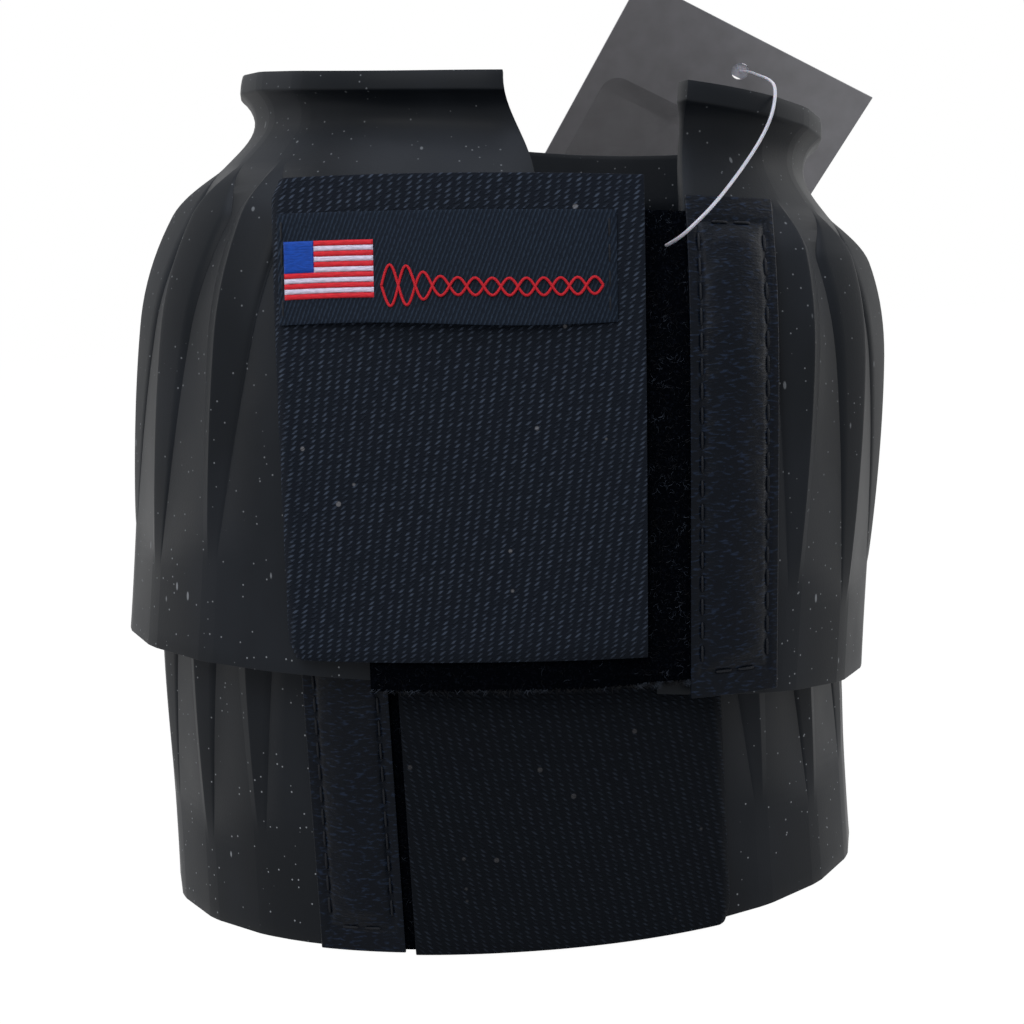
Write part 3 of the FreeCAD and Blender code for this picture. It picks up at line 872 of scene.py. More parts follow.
def leatherette():
    """Coated cloth, embossed and creased across: glossy black with fine wrinkles, and a painted
    highlight on the tops of the creases.
    """
    made, tree = material("creased_leatherette")
    where = add(tree, "TexCoord").outputs["UV"]
    creases = add(
        tree,
        "TexNoise",
        {
            "Vector": add(
                tree,
                "Mapping",
                {"Vector": where, "Scale": per_mm(1.9, 0.62, 1), "Rotation": flat_turn(-24)},
            ).outputs[0],
            "Scale": 1.0,
            "Detail": 2,
            "Roughness": 0.5,
            "Distortion": 0.35,
        },
    ).outputs[0]
    grain = add(
        tree,
        "TexVoronoi",
        {
            "Vector": add(
                tree, "Mapping", {"Vector": where, "Scale": per_mm(0.8, 0.5, 1)}
            ).outputs[0],
            "Scale": 1.0,
        },
    ).outputs["Distance"]
    gloss = add(
        tree,
        "TexNoise",
        {
            "Vector": add(
                tree, "Mapping", {"Vector": where, "Scale": per_mm(14, 20, 1)}
            ).outputs[0],
            "Scale": 1.0,
            "Detail": 2,
        },
    ).outputs[0]
    # painted highlight: the tops of the creases are mixed towards the lighter #182130
    base = add(
        tree,
        "Mix",
        {
            0: add(
                tree,
                "MapRange",
                {"Value": creases, "From Min": 0.52, "From Max": 0.72},
                interpolation_type="SMOOTHSTEP",
            ).outputs[0],
            6: settings("strip").leatherette,
            7: linear("#182130"),
        },
        data_type="RGBA",
    ).outputs[2]
    normal = add(
        tree,
        "Bump",
        {
            "Height": grain,
            "Distance": 0.03 * MM,
            "Normal": add(tree, "Bump", {"Height": creases, "Distance": 0.16 * MM}).outputs[0],
        },
    ).outputs[0]
    rough = add(
        tree,
        "MapRange",
        {"Value": gloss, "From Min": 0.3, "From Max": 0.7, "To Min": 0.34, "To Max": 0.46},
        interpolation_type="SMOOTHSTEP",
    ).outputs[0]
    surface(tree, Base_Color=base, Roughness=rough, Normal=normal, Specular_IOR_Level=0.07)
    return made


def backing_webbing():
    """Plain woven nylon webbing: fine ribs across, dull black."""
    made, tree = material("woven_backing")
    where = add(tree, "TexCoord").outputs["Object"]
    ribs_across = add(
        tree,
        "TexWave",
        {
            "Vector": add(tree, "Mapping", {"Vector": where, "Scale": per_mm(1, 1, 4)}).outputs[0],
            "Scale": 0.5,
        },
        bands_direction="Z",
    )
    height = ribs_across.outputs[1]
    base = add(
        tree, "Mix", {0: height, 6: linear("#0a0b0d"), 7: linear("#16181c")}, data_type="RGBA"
    ).outputs[2]
    surface(
        tree,
        Base_Color=base,
        Roughness=0.8,
        Normal=add(tree, "Bump", {"Height": height, "Distance": 0.15 * MM}).outputs[0],
        Specular_IOR_Level=0.05,
    )
    return made


def sewing_thread():
    """Twisted polyester thread with a slight sheen."""
    made, tree = material("polyester_thread")
    twist = add(
        tree,
        "TexNoise",
        {
            "Vector": add(
                tree,
                "Mapping",
                {"Vector": add(tree, "TexCoord").outputs["Object"], "Scale": per_mm(0.3, 0.3, 0.3)},
            ).outputs[0],
            "Scale": 1.0,
            "Detail": 1,
        },
    ).outputs[0]
    base = add(
        tree,
        "Mix",
        {0: twist, 6: settings("strip").thread_colour, 7: linear("#1d2026")},
        data_type="RGBA",
    ).outputs[2]
    surface(
        tree,
        Base_Color=base,
        Roughness=0.5,
        Normal=add(tree, "Bump", {"Height": twist, "Distance": 0.08 * MM}).outputs[0],
        Specular_IOR_Level=0.1,
    )
    return made


def damask_label():
    """Woven label: black twill lines that lean to the right, with a painted satin highlight on them.
    """
    made, tree = material("woven_damask")
    where = add(tree, "TexCoord").outputs["UV"]
    lines = add(
        tree,
        "TexWave",
        {
            "Vector": add(
                tree,
                "Mapping",
                {"Vector": where, "Scale": per_mm(2.7, 2.7, 1), "Rotation": flat_turn(22)},
            ).outputs[0],
            "Scale": 1.0,
            "Distortion": 1.5,
            "Detail": 2.0,
            "Detail Scale": 3.0,
        },
    ).outputs[1]
    threads = add(
        tree,
        "TexNoise",
        {
            "Vector": add(
                tree,
                "Mapping",
                {"Vector": where, "Scale": per_mm(0.3, 1.0, 1), "Rotation": flat_turn(22)},
            ).outputs[0],
            "Scale": 1.0,
            "Detail": 2,
        },
    ).outputs[0]
    height = add(tree, "Math", {0: lines, 1: threads}, operation="MULTIPLY").outputs[0]
    # painted highlight: the raised twill threads are mixed towards the lighter #222c39
    base = add(
        tree,
        "Mix",
        {
            0: add(
                tree,
                "MapRange",
                {"Value": height, "From Min": 0.15, "From Max": 0.7},
                interpolation_type="SMOOTHSTEP",
            ).outputs[0],
            6: settings("label").cloth,
            7: linear("#222c39"),
        },
        data_type="RGBA",
    ).outputs[2]
    surface(
        tree,
        Base_Color=base,
        Roughness=0.6,
        Normal=add(tree, "Bump", {"Height": height, "Distance": 0.15 * MM}).outputs[0],
        Specular_IOR_Level=0.05,
    )
    return made


def embroidery(name, tone):
    """Satin stitch: shiny rayon threads laid side by side."""
    made, tree = material(f"satin_stitch_{name}")
    where = add(tree, "TexCoord").outputs["UV"]
    threads = add(
        tree,
        "TexNoise",
        {
            "Vector": add(
                tree, "Mapping", {"Vector": where, "Scale": per_mm(1.6, 0.28, 1)}
            ).outputs[0],
            "Scale": 1.0,
            "Detail": 2,
        },
    ).outputs[0]
    base = add(
        tree,
        "Mix",
        {
            0: add(
                tree,
                "MapRange",
                {"Value": threads, "From Min": 0.35, "From Max": 0.65},
                interpolation_type="SMOOTHSTEP",
            ).outputs[0],
            6: tuple((c * 0.72 for c in tone)),
            7: tone,
        },
        data_type="RGBA",
    ).outputs[2]
    surface(
        tree,
        Base_Color=base,
        Roughness=0.5,
        Normal=add(tree, "Bump", {"Height": threads, "Distance": 0.1 * MM}).outputs[0],
        Specular_IOR_Level=0.12,
    )
    return made


def coated_card():
    """Coated card: smooth, with a soft shine."""
    made, tree = material("coated_card")
    fibres = add(
        tree,
        "TexNoise",
        {
            "Vector": add(
                tree,
                "Mapping",
                {"Vector": add(tree, "TexCoord").outputs["Object"], "Scale": per_mm(6, 6, 6)},
            ).outputs[0],
            "Scale": 1.0,
            "Detail": 3,
        },
    ).outputs[0]
    base = add(
        tree, "Mix", {0: fibres, 6: settings("tag").card, 7: linear("#6c6b6d")}, data_type="RGBA"
    ).outputs[2]
    surface(
        tree,
        Base_Color=base,
        Roughness=0.32,
        Normal=add(tree, "Bump", {"Height": fibres, "Distance": 0.02 * MM}).outputs[0],
        Specular_IOR_Level=0.5,
    )
    return made


def clear_film():
    """Clear label film: it only shows by its shine and its edge."""
    made, tree = material("clear_film")
    haze = add(
        tree,
        "TexNoise",
        {
            "Vector": add(
                tree,
                "Mapping",
                {"Vector": add(tree, "TexCoord").outputs["Object"], "Scale": per_mm(9, 9, 9)},
            ).outputs[0],
            "Scale": 1.0,
            "Detail": 2,
        },
    ).outputs[0]
    surface(
        tree,
        Base_Color=linear("#8d8c8e"),
        Roughness=add(
            tree,
            "MapRange",
            {"Value": haze, "From Min": 0.3, "From Max": 0.7, "To Min": 0.2, "To Max": 0.35},
            interpolation_type="SMOOTHSTEP",
        ).outputs[0],
        Alpha=0.16,
    )
    return made


def clear_nylon():
    """Drawn nylon filament: milky, with a bright line of light along it."""
    made, tree = material("drawn_nylon")
    haze = add(
        tree,
        "TexNoise",
        {
            "Vector": add(
                tree,
                "Mapping",
                {"Vector": add(tree, "TexCoord").outputs["Object"], "Scale": per_mm(2, 2, 2)},
            ).outputs[0],
            "Scale": 1.0,
            "Detail": 2,
        },
    ).outputs[0]
    base = add(
        tree, "Mix", {0: haze, 6: settings("tag").nylon, 7: linear("#b3b3be")}, data_type="RGBA"
    ).outputs[2]
    surface(
        tree,
        Base_Color=base,
        Roughness=0.25,
        Subsurface_Weight=0.2,
        Subsurface_Scale=0.5 * MM,
        Transmission_Weight=0.25,
        IOR=1.53,
    )
    return made


MATERIALS = {}


def finish_of(name):
    """The material of a finish, made when it is first asked for."""
    makers = {
        "rubber": moulded_rubber, "hook": hook_tape, "pile": loop_pile, "fibre": pile_fibre,
        "leatherette": leatherette, "webbing": backing_webbing, "thread": sewing_thread,
        "label": damask_label,
        "red": lambda: embroidery("red", tuple(settings("label").red)),
        "white": lambda: embroidery("white", tuple(settings("label").white)),
        "blue": lambda: embroidery("blue", tuple(settings("label").blue)),
        "card": coated_card, "film": clear_film, "nylon": clear_nylon,
    }
    if name not in MATERIALS:
        MATERIALS[name] = makers[name]()
    return MATERIALS[name]


# ---- bell -----------------------------------------------------------------------------------
def ribs():
    """Azimuths of the crests and the pitch, in radians."""
    count = settings("bell").rib_count
    step = (360 - 2 * FIRST_RIB) / (count - 1)
    return np.radians(FIRST_RIB + step * np.arange(count)), math.radians(step)


def rib_size(number, height):
    """How grown a rib is at a height, from 0 at its foot to 1 on the shoulder and 0 above."""
    foot = RIB_FOOT - RIB_FOOT_STEP * (number % 2)
    size = np.clip((height - foot) / (RIB_FULL - foot), 0, 1)
    return size * (1 - smooth((height - RIB_FULL) / (RIB_TOP - RIB_FULL)))


def faces_front(number, low_side):
    """Whether the slope on the side of the smaller or the larger azimuths faces the front."""
    middle = (settings("bell").rib_count - 1) / 2
    return number == middle or (number < middle) == low_side


def rib_reach(number, height, low_side):
    """Width of a rib's slope on one side of its crest."""
    _, pitch = ribs()
    bell = settings("bell")
    slope = bell.rib_front if faces_front(number, low_side) else bell.rib_back
    return slope * pitch * (RIB_POINT_SHARE + (1 - RIB_POINT_SHARE) * rib_size(number, height))


CLIMB_END = 0.38  # shares of the columns between two crests: the slope behind the first one,
FALL_START = 0.52  # the flat wall, and the slope before the next one
PLAIN_END = 0.5


def bell_columns():
    """Columns of a bell as pairs of the rib before and a share of the way to the next rib."""
    climb = (0, 0.01, 0.03, 0.06, 0.12, 0.19, 0.26, 0.31, 0.34, 0.355, 0.37, CLIMB_END)
    fall = (FALL_START, 0.53, 0.55, 0.57, 0.61, 0.68, 0.76, 0.84, 0.91, 0.96, 0.985)
    cell = climb + fall
    count = settings("bell").rib_count
    columns = [-1 + t for t in spread(0, PLAIN_END, 8)] + [-1 + t for t in fall[1:]]
    for number in range(count - 1):
        columns += [number + t for t in cell]
    columns += [count - 1 + t for t in climb] + [count - 1 + t for t in spread(PLAIN_END, 1, 8)]
    return columns


def bell_azimuth(boot, column, height):
    """Azimuth of a column at a height; the columns follow the ribs' tapering slopes."""
    crests, _ = ribs()
    count = len(crests)
    number = np.minimum(np.floor(column + 1e-9).astype(int), count - 1)
    t = column - number
    result = np.zeros_like(column)
    rim = smooth((height - SHOULDER_HEIGHT) / (BELL_HEIGHT - SHOULDER_HEIGHT))
    hook_side = boot.split_hook + rim * (boot.split_hook_rim - boot.split_hook)
    wall = wall_at(height)
    loop_edge = azimuth_at(boot, boot.split_loop + 0 * height, height, *wall)
    hook_edge = azimuth_at(boot, hook_side, height, *wall) + 2 * math.pi
    for index in range(-1, count):
        mask = number == index
        tops, share_up = height[mask], t[mask]
        low = crests[index] if index >= 0 else loop_edge[mask]
        high = crests[index + 1] if index < count - 1 else hook_edge[mask]
        after = rib_reach(index, tops, False) if index >= 0 else 0 * tops
        before = rib_reach(index + 1, tops, True) if index < count - 1 else 0 * tops
        foot, head = low + after, high - before
        climb, fall = share_up / CLIMB_END, (share_up - FALL_START) / (1 - FALL_START)
        if index < 0:
            plain = low + share_up / PLAIN_END * (head - low)
            result[mask] = np.where(share_up <= PLAIN_END, plain, head + fall * (high - head))
        elif index >= count - 1:
            plain = foot + (share_up - CLIMB_END) / (1 - CLIMB_END) * (high - foot)
            result[mask] = np.where(share_up <= CLIMB_END, low + climb * after, plain)
        else:
            middle = foot + (share_up - CLIMB_END) / (FALL_START - CLIMB_END) * (head - foot)
            result[mask] = np.where(
                share_up <= CLIMB_END, low + climb * after,
                np.where(share_up < FALL_START, middle, head + fall * before),
            )
    return result


def rib_rise(boot, azimuth, height):
    """Height of the pleat-like ribs over the wall, with a groove at the foot of each front slope."""
    crests, _ = ribs()
    groove = millimetres("bell", "rib_groove")
    rise = np.zeros_like(azimuth)
    for number, crest in enumerate(crests):
        size = rib_size(number, height)
        for low_side in (True, False):
            here = (azimuth < crest) if low_side else (azimuth >= crest)
            out = np.abs(azimuth - crest) / rib_reach(number, height, low_side)
            slope = boot.rib_height * size**RIB_FADE * (1 - np.sqrt(out**2 + 0.0004))
            if faces_front(number, low_side):
                slope = slope - groove * size**RIB_FADE * np.exp(-np.square((out - 0.93) / 0.05))
            rise += np.where(here & (out < 0.995), slope, 0)
    return rise


def make_bell(boot):
    """The moulded bell, from one side of its split round the back to the other."""

    def skins(column, row, depth):
        azimuth = bell_azimuth(boot, column, row)
        low = boot.arch * np.maximum(0, np.cos(azimuth)) ** 2
        height = row + low * np.maximum(0, 1 - row / ARCH_HEIGHT)
        inset, slope = wall_at(height)
        outer = bell_point(boot, azimuth, height, inset, slope, rib_rise(boot, azimuth, height))
        inside = np.minimum(inset + WALL * np.sqrt(1 + slope**2), NECK_INSET + WALL)
        inside = np.where(height > NECK_HEIGHT, NECK_INSET + WALL, inside)
        inner = bell_point(boot, azimuth, height, inside)
        return placed(boot, np.where(depth[:, None] > 0.5, inner, outer))

    rows = spread(0, 15, 5) + spread(15, 45, 15)[1:] + spread(45, RIB_FULL, 22)[1:]
    rows += spread(RIB_FULL, LIP_LINE - 2 * LIP_EDGE, 24)[1:]
    rows += spread(LIP_LINE - 2 * LIP_EDGE, LIP_LINE + LIP_EDGE, 7)[1:]
    rows += spread(LIP_LINE + LIP_EDGE, BELL_HEIGHT, 4)[1:]
    bevel = millimetres("bell", "rim_bevel")
    bell = sheet(f"{boot.name}_bell", bell_columns(), rows, skins, bevel=bevel, angle=50)
    return finish(bell, body_of(boot), "rubber", finish_of("rubber"), f"{boot.name}_shell")


# ---- closure --------------------------------------------------------------------------------
FOLD = (FLAP_LOW + FLAP_TOP - SEAM_GAP - LEAF_TOP) / 4  # radius of the spine's fold, mid-tape
FOLD_MIDDLE = (FLAP_LOW + FLAP_TOP + SEAM_GAP + LEAF_TOP) / 4


def fold_point(boot, along, depth, leaf):
    """Across and rise of a tape that runs from its leaf into half of the rounded fold.

    along is negative on the fold, as the arc's length, and positive on the flat.
    """
    middle = (SEAM_GAP + LEAF_TOP) / 2 if leaf else (FLAP_LOW + FLAP_TOP) / 2
    outward = -1 if leaf else 1
    thick = HOOK_TAPE * (0.5 - depth)
    turn = np.clip(-along / FOLD, 0, math.pi / 2)
    centre = boot.spine + FOLD
    across = np.where(along > 0, centre + along, centre - (FOLD + thick) * np.sin(turn))
    curved = FOLD_MIDDLE + outward * (FOLD + thick) * np.cos(turn)
    return across, np.where(along > 0, middle + outward * thick, curved)


def make_tape(boot, leaf):
    """One leaf of the hook tape with its half of the fold at the spine."""
    end = boot.bend - LOOP_RAMP - LEAF_MARGIN if leaf else boot.flap_end
    arc = FOLD * math.pi / 2
    columns = spread(-arc, 0, 8)[:-1] + spread(0, end - boot.spine - FOLD, 40)
    stiff = 0.0 if leaf else 1.0

    def skins(along, up, depth):
        across, rise = fold_point(boot, along, depth, leaf)
        # the corners of a folded tape are drawn in a little at its ends
        ends = np.minimum(up - boot.tape_foot, boot.tape_foot + TAPE_WIDTH - up)
        pull = 1.6 * (1 - smooth(ends / 4.0)) * (1 - smooth((across - boot.spine) / 4.0))
        return on_front(boot, across + pull, up, rise, stiff)

    name = "hook_leaf" if leaf else "closure_flap"
    tape = sheet(
        f"{boot.name}_{name}_tape", columns, tape_rows(boot.tape_foot), skins,
        bevel=millimetres("tape", "edge"),
    )
    if leaf or boot is LOWER:
        return finish(tape, body_of(boot), "hook_tape", finish_of("hook"), f"{boot.name}_{name}")
    finish(tape, None, "hook_tape", finish_of("hook"), f"{boot.name}_{name}")
    up = boot.tape_foot + TAPE_MIDDLE
    start = on_front(boot, boot.spine, up, FOLD_MIDDLE, 1.0)
    end = on_front(boot, boot.spine + 1.6, up, FOLD_MIDDLE, 1.0)
    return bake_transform(tape)


def loop_rise(boot, across):
    """How far the loop tape's underside stands off the shell, as it climbs onto the leaf."""
    return SEAM_GAP + (LOOP_LOW - SEAM_GAP) * smooth((boot.bend - across) / LOOP_RAMP)


def fibre(steps=3, sides=3):
    """One pile fibre, a thin bent tube of unit length with pointed ends along +Z."""
    points, faces = [], []
    for step in range(steps + 1):
        t = step / steps
        radius = 0.035 * (1 - 0.6 * t)
        for side in range(sides):
            angle = 2 * math.pi * side / sides
            x, y = 0.5 * t * t + radius * math.cos(angle), radius * math.sin(angle)
            points.append((x, y, t * (1 - 0.25 * t)))
    for step in range(steps):
        for side in range(sides):
            a, b = step * sides + side, step * sides + (side + 1) % sides
            faces.append((a, b, b + sides, a + sides))
    faces += [tuple(range(sides))[::-1], tuple(range(steps * sides, (steps + 1) * sides))]
    return np.array(points), faces


def make_pile(boot, body):
    """Stray fibres that stand on the loop tape's outer face and edges."""
    rng = np.random.default_rng(boot.seed)
    count = settings("tape").fibre_count
    across = rng.uniform(boot.loop_end, boot.strip_start + 1, count)
    if boot is UPPER:
        across[: count // 2] = rng.uniform(boot.flap_end - 1, boot.strip_start + 1, count // 2)
    up = rng.uniform(boot.loop_foot + 1.5, boot.loop_foot + TAPE_WIDTH, count)
    edge = rng.random(count) < (0.25 if boot is UPPER else 0.0)
    up[edge] = boot.loop_foot + rng.uniform(0, 0.6, edge.sum())
    rise = loop_rise(boot, across) + LOOP_TAPE - 0.05
    stiff = smooth((boot.bend - across) / LOOP_RAMP)
    foot = on_front(boot, across, up, rise, stiff)
    side = on_front(boot, across + 1, up, rise, stiff) - foot
    high = on_front(boot, across, up + 1, rise, stiff) - foot
    side /= np.linalg.norm(side, axis=1)[:, None]
    high /= np.linalg.norm(high, axis=1)[:, None]
    out = np.cross(side, high) * (-1 if boot.mirrored else 1)
    turn = rng.uniform(0, 2 * math.pi, count)[:, None]
    lean = side * np.cos(turn) + high * np.sin(turn)
    out = out * 0.45 + lean * 0.8
    out[edge] -= high[edge] * 0.9
    out /= np.linalg.norm(out, axis=1)[:, None]
    first = np.cross(out, lean)
    first /= np.linalg.norm(first, axis=1)[:, None]
    second = np.cross(out, first)
    size = settings("tape").fibre_length * rng.uniform(0.5, 1.3, count)
    shape, faces = fibre()
    points = (
        foot[:, None, :]
        + shape[None, :, 0, None] * first[:, None, :] * size[:, None, None]
        + shape[None, :, 1, None] * second[:, None, :] * size[:, None, None]
        + shape[None, :, 2, None] * out[:, None, :] * size[:, None, None]
    )
    step = len(shape)
    every = [tuple(i * step + v for v in face) for i in range(count) for face in faces]
    mesh = bpy.data.meshes.new(f"{boot.name}_pile_fibres")
    mesh.from_pydata(points.reshape(-1, 3).tolist(), [], every)
    piece = bpy.data.objects.new(mesh.name, mesh)
    bpy.context.scene.collection.objects.link(piece)
    in_edit_mode(piece, ("normals_make_consistent", {"inside": False}))
    return finish(piece, body, "loop_tape", finish_of("fibre"))


def make_loop(boot):
    """The double sided loop tape, root and flap in one piece, as it is cut."""
    columns = spread(boot.loop_end, boot.bend - LOOP_RAMP, 30)[:-1]
    columns += spread(boot.bend - LOOP_RAMP, boot.bend, 14)[:-1]
    columns += spread(boot.bend, boot.strip_end - STRIP_LAP, 14)

    def stiff(across, up):
        return smooth((boot.bend - across) / LOOP_RAMP)

    def low(across, up):
        return loop_rise(boot, across)

    def high(across, up):
        return loop_rise(boot, across) + LOOP_TAPE

    tape = front_sheet(
        "loop_tape", boot, columns, tape_rows(boot.loop_foot), low, high, stiff,
        bevel=2 * millimetres("tape", "edge"),
    )
    nodes = (f"{boot.name}_loop_root", f"{boot.name}_loop_flap")
    if boot is LOWER:
        make_pile(boot, "lower_boot")
        return finish(tape, "lower_boot", "loop_tape", finish_of("pile"), *nodes)
    finish(tape, None, "loop_tape", finish_of("pile"), *nodes)
    fibres = make_pile(boot, None)
    up = boot.loop_foot + TAPE_MIDDLE
    start = on_front(boot, boot.bend + 1.0, up, ROOT_TOP)
    end = on_front(boot, boot.bend - 3.0, up, ROOT_TOP)
    for piece in (tape, fibres):
        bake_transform(piece)
    return tape


def strip_seams(boot):
    """Across and up of the box seam's low and high corners."""
    side, ends = millimetres("strip", "seam"), millimetres("strip", "seam_ends")
    low = (boot.strip_start + side, boot.strip_foot + ends)
    high = (boot.strip_end - side, boot.strip_foot + boot.strip_height - ends)
    return low, high


def strip_top(boot, across, up):
    """The strip's outer face: a padded middle inside a sewn-down, slightly puckered margin."""
    (left, low), (right, high) = strip_seams(boot)
    inward = np.minimum(across - left, right - across)
    endward = np.minimum(up - low, high - up)
    inside = np.minimum(inward, endward)
    crown = 1 - np.square(1 - np.clip(2 * inward / (right - left), 0, 1))
    padded = millimetres("strip", "puff") * crown * smooth(endward / 5.0)
    furrow = -0.45 * np.exp(-np.square(inside / 0.7))
    stitches = np.sin(up * 2 * math.pi / millimetres("strip", "pitch"))
    pucker = 0.12 * stitches * np.exp(-np.abs(inside) / 1.5)
    wave = 0.12 * np.sin(up * 0.23 + across * 0.31) + 0.08 * np.sin(up * 0.61 - across * 0.2)
    flat = STRIP_LOW + millimetres("strip", "thickness")
    return flat + padded + furrow + pucker + wave * smooth(inside / 3)


def make_strip(boot):
    """The leatherette strip over the loop tape's root."""
    columns = spread(boot.strip_start, boot.strip_end, 61)
    rows = spread(boot.strip_foot, boot.strip_foot + boot.strip_height, 261)
    strip = front_sheet(
        "leatherette_strip", boot, columns, rows, STRIP_LOW,
        lambda across, up: strip_top(boot, across, up), bevel=0.25,
    )
    leather = finish_of("leatherette")
    return finish(strip, body_of(boot), "leatherette", leather, f"{boot.name}_strip")


def make_backings(boot):
    """Webbing strips inside the shell, which only need their finish."""
    for name in ("hook_backing", "loop_backing"):
        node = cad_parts[f"{boot.name}_{name}"]
        node.data.materials.clear()
        node.data.materials.append(finish_of("webbing"))


# ---- stitches -------------------------------------------------------------------------------
def stitch_shape(sides=6):
    """One stitch along +X of unit length and thickness: a sunk-ended, fat-bellied thread."""
    half = ((0.5, 0.15, -0.9), (0.42, 0.5, -0.45), (0.2, 0.52, 0.0))  # place, radius and sinking
    rings = [(-x, radius, sink) for x, radius, sink in half] + list(reversed(half))
    points, faces = [], []
    for x, radius, sink in rings:
        for side in range(sides):
            angle = 2 * math.pi * side / sides
            points.append((x, radius * math.cos(angle), radius * math.sin(angle) + 0.5 * sink))
    for ring in range(len(rings) - 1):
        for side in range(sides):
            a, b = ring * sides + side, ring * sides + (side + 1) % sides
            faces.append((a, b, b + sides, a + sides))
    last = (len(rings) - 1) * sides
    faces += [tuple(range(sides))[::-1], tuple(range(last, last + sides))]
    return np.array(points), faces


def seam_places(start, end):
    """Ends of the stitches of a seam between two across, up pairs."""
    pitch, stitch = millimetres("strip", "pitch"), millimetres("strip", "stitch")
    run = math.hypot(end[0] - start[0], end[1] - start[1])
    count = max(1, int(run / pitch))
    margin = (run - count * pitch) / 2 + (pitch - stitch) / 2
    begins = margin + np.arange(count) * pitch
    start, end = np.array(start), np.array(end)
    return [start + (end - start) * (at / run)[:, None] for at in (begins, begins + stitch)]


def make_seams(name, boot, seams, rise, stiff, body, slot, finish_name, node, thick=None):
    """Stitches, each a copy of one shape, laid along seams on the closure."""
    firsts, lasts = (np.concatenate(ends) for ends in zip(*[seam_places(*s) for s in seams]))
    lift = rise(firsts, lasts) if callable(rise) else rise
    a = on_front(boot, firsts[:, 0], firsts[:, 1], lift, stiff)
    b = on_front(boot, lasts[:, 0], lasts[:, 1], lift, stiff)
    up = on_front(boot, firsts[:, 0], firsts[:, 1], lift + 1.0, stiff) - a
    up /= np.linalg.norm(up, axis=1)[:, None]
    along = b - a
    sideways = np.cross(up, along)
    sideways /= np.linalg.norm(sideways, axis=1)[:, None]
    thread = (thick or millimetres("strip", "thread")) * MM
    shape, faces = stitch_shape()
    points = (
        ((a + b) / 2)[:, None, :]
        + shape[None, :, 0, None] * along[:, None, :]
        + shape[None, :, 1, None] * sideways[:, None, :] * thread
        + shape[None, :, 2, None] * up[:, None, :] * thread
    )
    step = len(shape)
    every = [tuple(i * step + v for v in face) for i in range(len(a)) for face in faces]
    mesh = bpy.data.meshes.new(f"{boot.name}_{name}")
    mesh.from_pydata(points.reshape(-1, 3).tolist(), [], every)
    piece = bpy.data.objects.new(mesh.name, mesh)
    bpy.context.scene.collection.objects.link(piece)
    in_edit_mode(piece, ("normals_make_consistent", {"inside": False}))
    alone(piece)
    bpy.ops.object.shade_smooth_by_angle(angle=math.radians(60))
    return finish(piece, body, slot, finish_of(finish_name), node)


def make_strip_seams(boot):
    (left, low), (right, high) = strip_seams(boot)
    corners = [(left, low), (right, low), (right, high), (left, high)]
    seams = list(zip(corners, corners[1:] + corners[:1]))
    lift = STRIP_LOW + millimetres("strip", "thickness") - 0.15
    return make_seams(
        "strip_stitches", boot, seams, lift, 0.0, body_of(boot), "thread", "thread",
        f"{boot.name}_strip_stitching",
    )


def make_hook_seams(boot):
    first, gap = boot.spine + 6.6, 3.6
    low, high = boot.tape_foot + gap, boot.tape_foot + TAPE_WIDTH - gap
    seams = [((a, low), (a, high)) for a in (first, first + gap)]
    return make_seams(
        "hook_stitches", boot, seams, LEAF_TOP + 0.2, 0.0, body_of(boot), "thread", "thread",
        f"{boot.name}_hook_stitching",
    )


# ---- label ----------------------------------------------------------------------------------
def label_box(boot):
    """Across and up of the label's ends."""
    start = boot.spine + millimetres("label", "start")
    end = min(start + millimetres("label", "long"), boot.flap_end - 1.2)
    top = boot.tape_foot + TAPE_WIDTH - millimetres("label", "drop")
    return (start, end), (top - millimetres("label", "high"), top)


def label_lift(boot, across, up):
    """The label is sewn at its ends, and its lower edge bows out between them."""
    (start, end), (low, high) = label_box(boot)
    along = (across - start) / (end - start)
    between = np.sin(np.pi * np.clip(along, 0, 1)) ** 0.7
    lower = np.clip(1 - (up - low) / (high - low), 0, 1)
    return LABEL_LOW + 1.9 * between * lower**2 + 0.25 * between * np.sin(np.pi * lower)


def label_point(boot, across, up, rise):
    """Points on the label's face, whose lower edge hangs in a shallow bow.

    Both boots of the pair take the same label, so on the mirrored one it's turned back.
    """
    (start, end), (low, high) = label_box(boot)
    if boot.mirrored:
        across = start + end - across
    along = np.clip((across - start) / (end - start), 0, 1)
    hang = 0.5 * np.sin(2 * np.pi * along) * np.clip((high - up) / (high - low), 0, 1)
    return on_front(boot, across, up + hang, label_lift(boot, across, up) + rise, 1.0)


def make_label(boot):
    (start, end), (low, high) = label_box(boot)
    thick = millimetres("label", "thick")

    def skins(across, up, depth):
        return label_point(boot, across, up, thick * (1 - depth))

    columns, rows = spread(start, end, 90), spread(low, high, 34)
    label = sheet(f"{boot.name}_woven_label", columns, rows, skins, bevel=0.12)
    body = body_of(boot, "closure_flap")
    return finish(label, body, "label_cloth", finish_of("label"), f"{boot.name}_label")


def make_patch(boot, name, box, tone, height):
    """A bar of satin stitch on the label, with a rounded back."""
    (left, right), (low, high) = box
    base = millimetres("label", "thick")

    def skins(across, up, depth):
        edge = np.minimum.reduce([up - low, high - up, across - left, right - across])
        round_off = np.sqrt(np.clip(1 - np.square(1 - np.clip(edge / (height * 1.4), 0, 1)), 0, 1))
        return label_point(boot, across, up, base - 0.05 + (0.08 + height * round_off) * (1 - depth))

    rows = spread(low, high, 7 if high - low < 2 else 16)
    patch = sheet(f"{boot.name}_{name}", spread(left, right, 40), rows, skins, bevel=0)
    return finish(patch, body_of(boot, "closure_flap"), "label_cloth", finish_of(tone))


FLAG_WIDE, FLAG_HIGH, FLAG_STRIPES = 19.0, 11.8, 11
FLAG_LEFT, FLAG_FOOT = 1.4, 5.2  # from the label's start and its lower edge
CANTON_SHARE, CANTON_FOOT = 0.34, 5  # of the flag's width, and the stripes below the canton
STITCH_RAISE = 0.3
BORDER_START, BORDER_MIDDLE, BORDER_MARGIN = 22.0, 7.6, 3.0
BORDER_LOOPS = 13
BORDER_CORD = 0.3


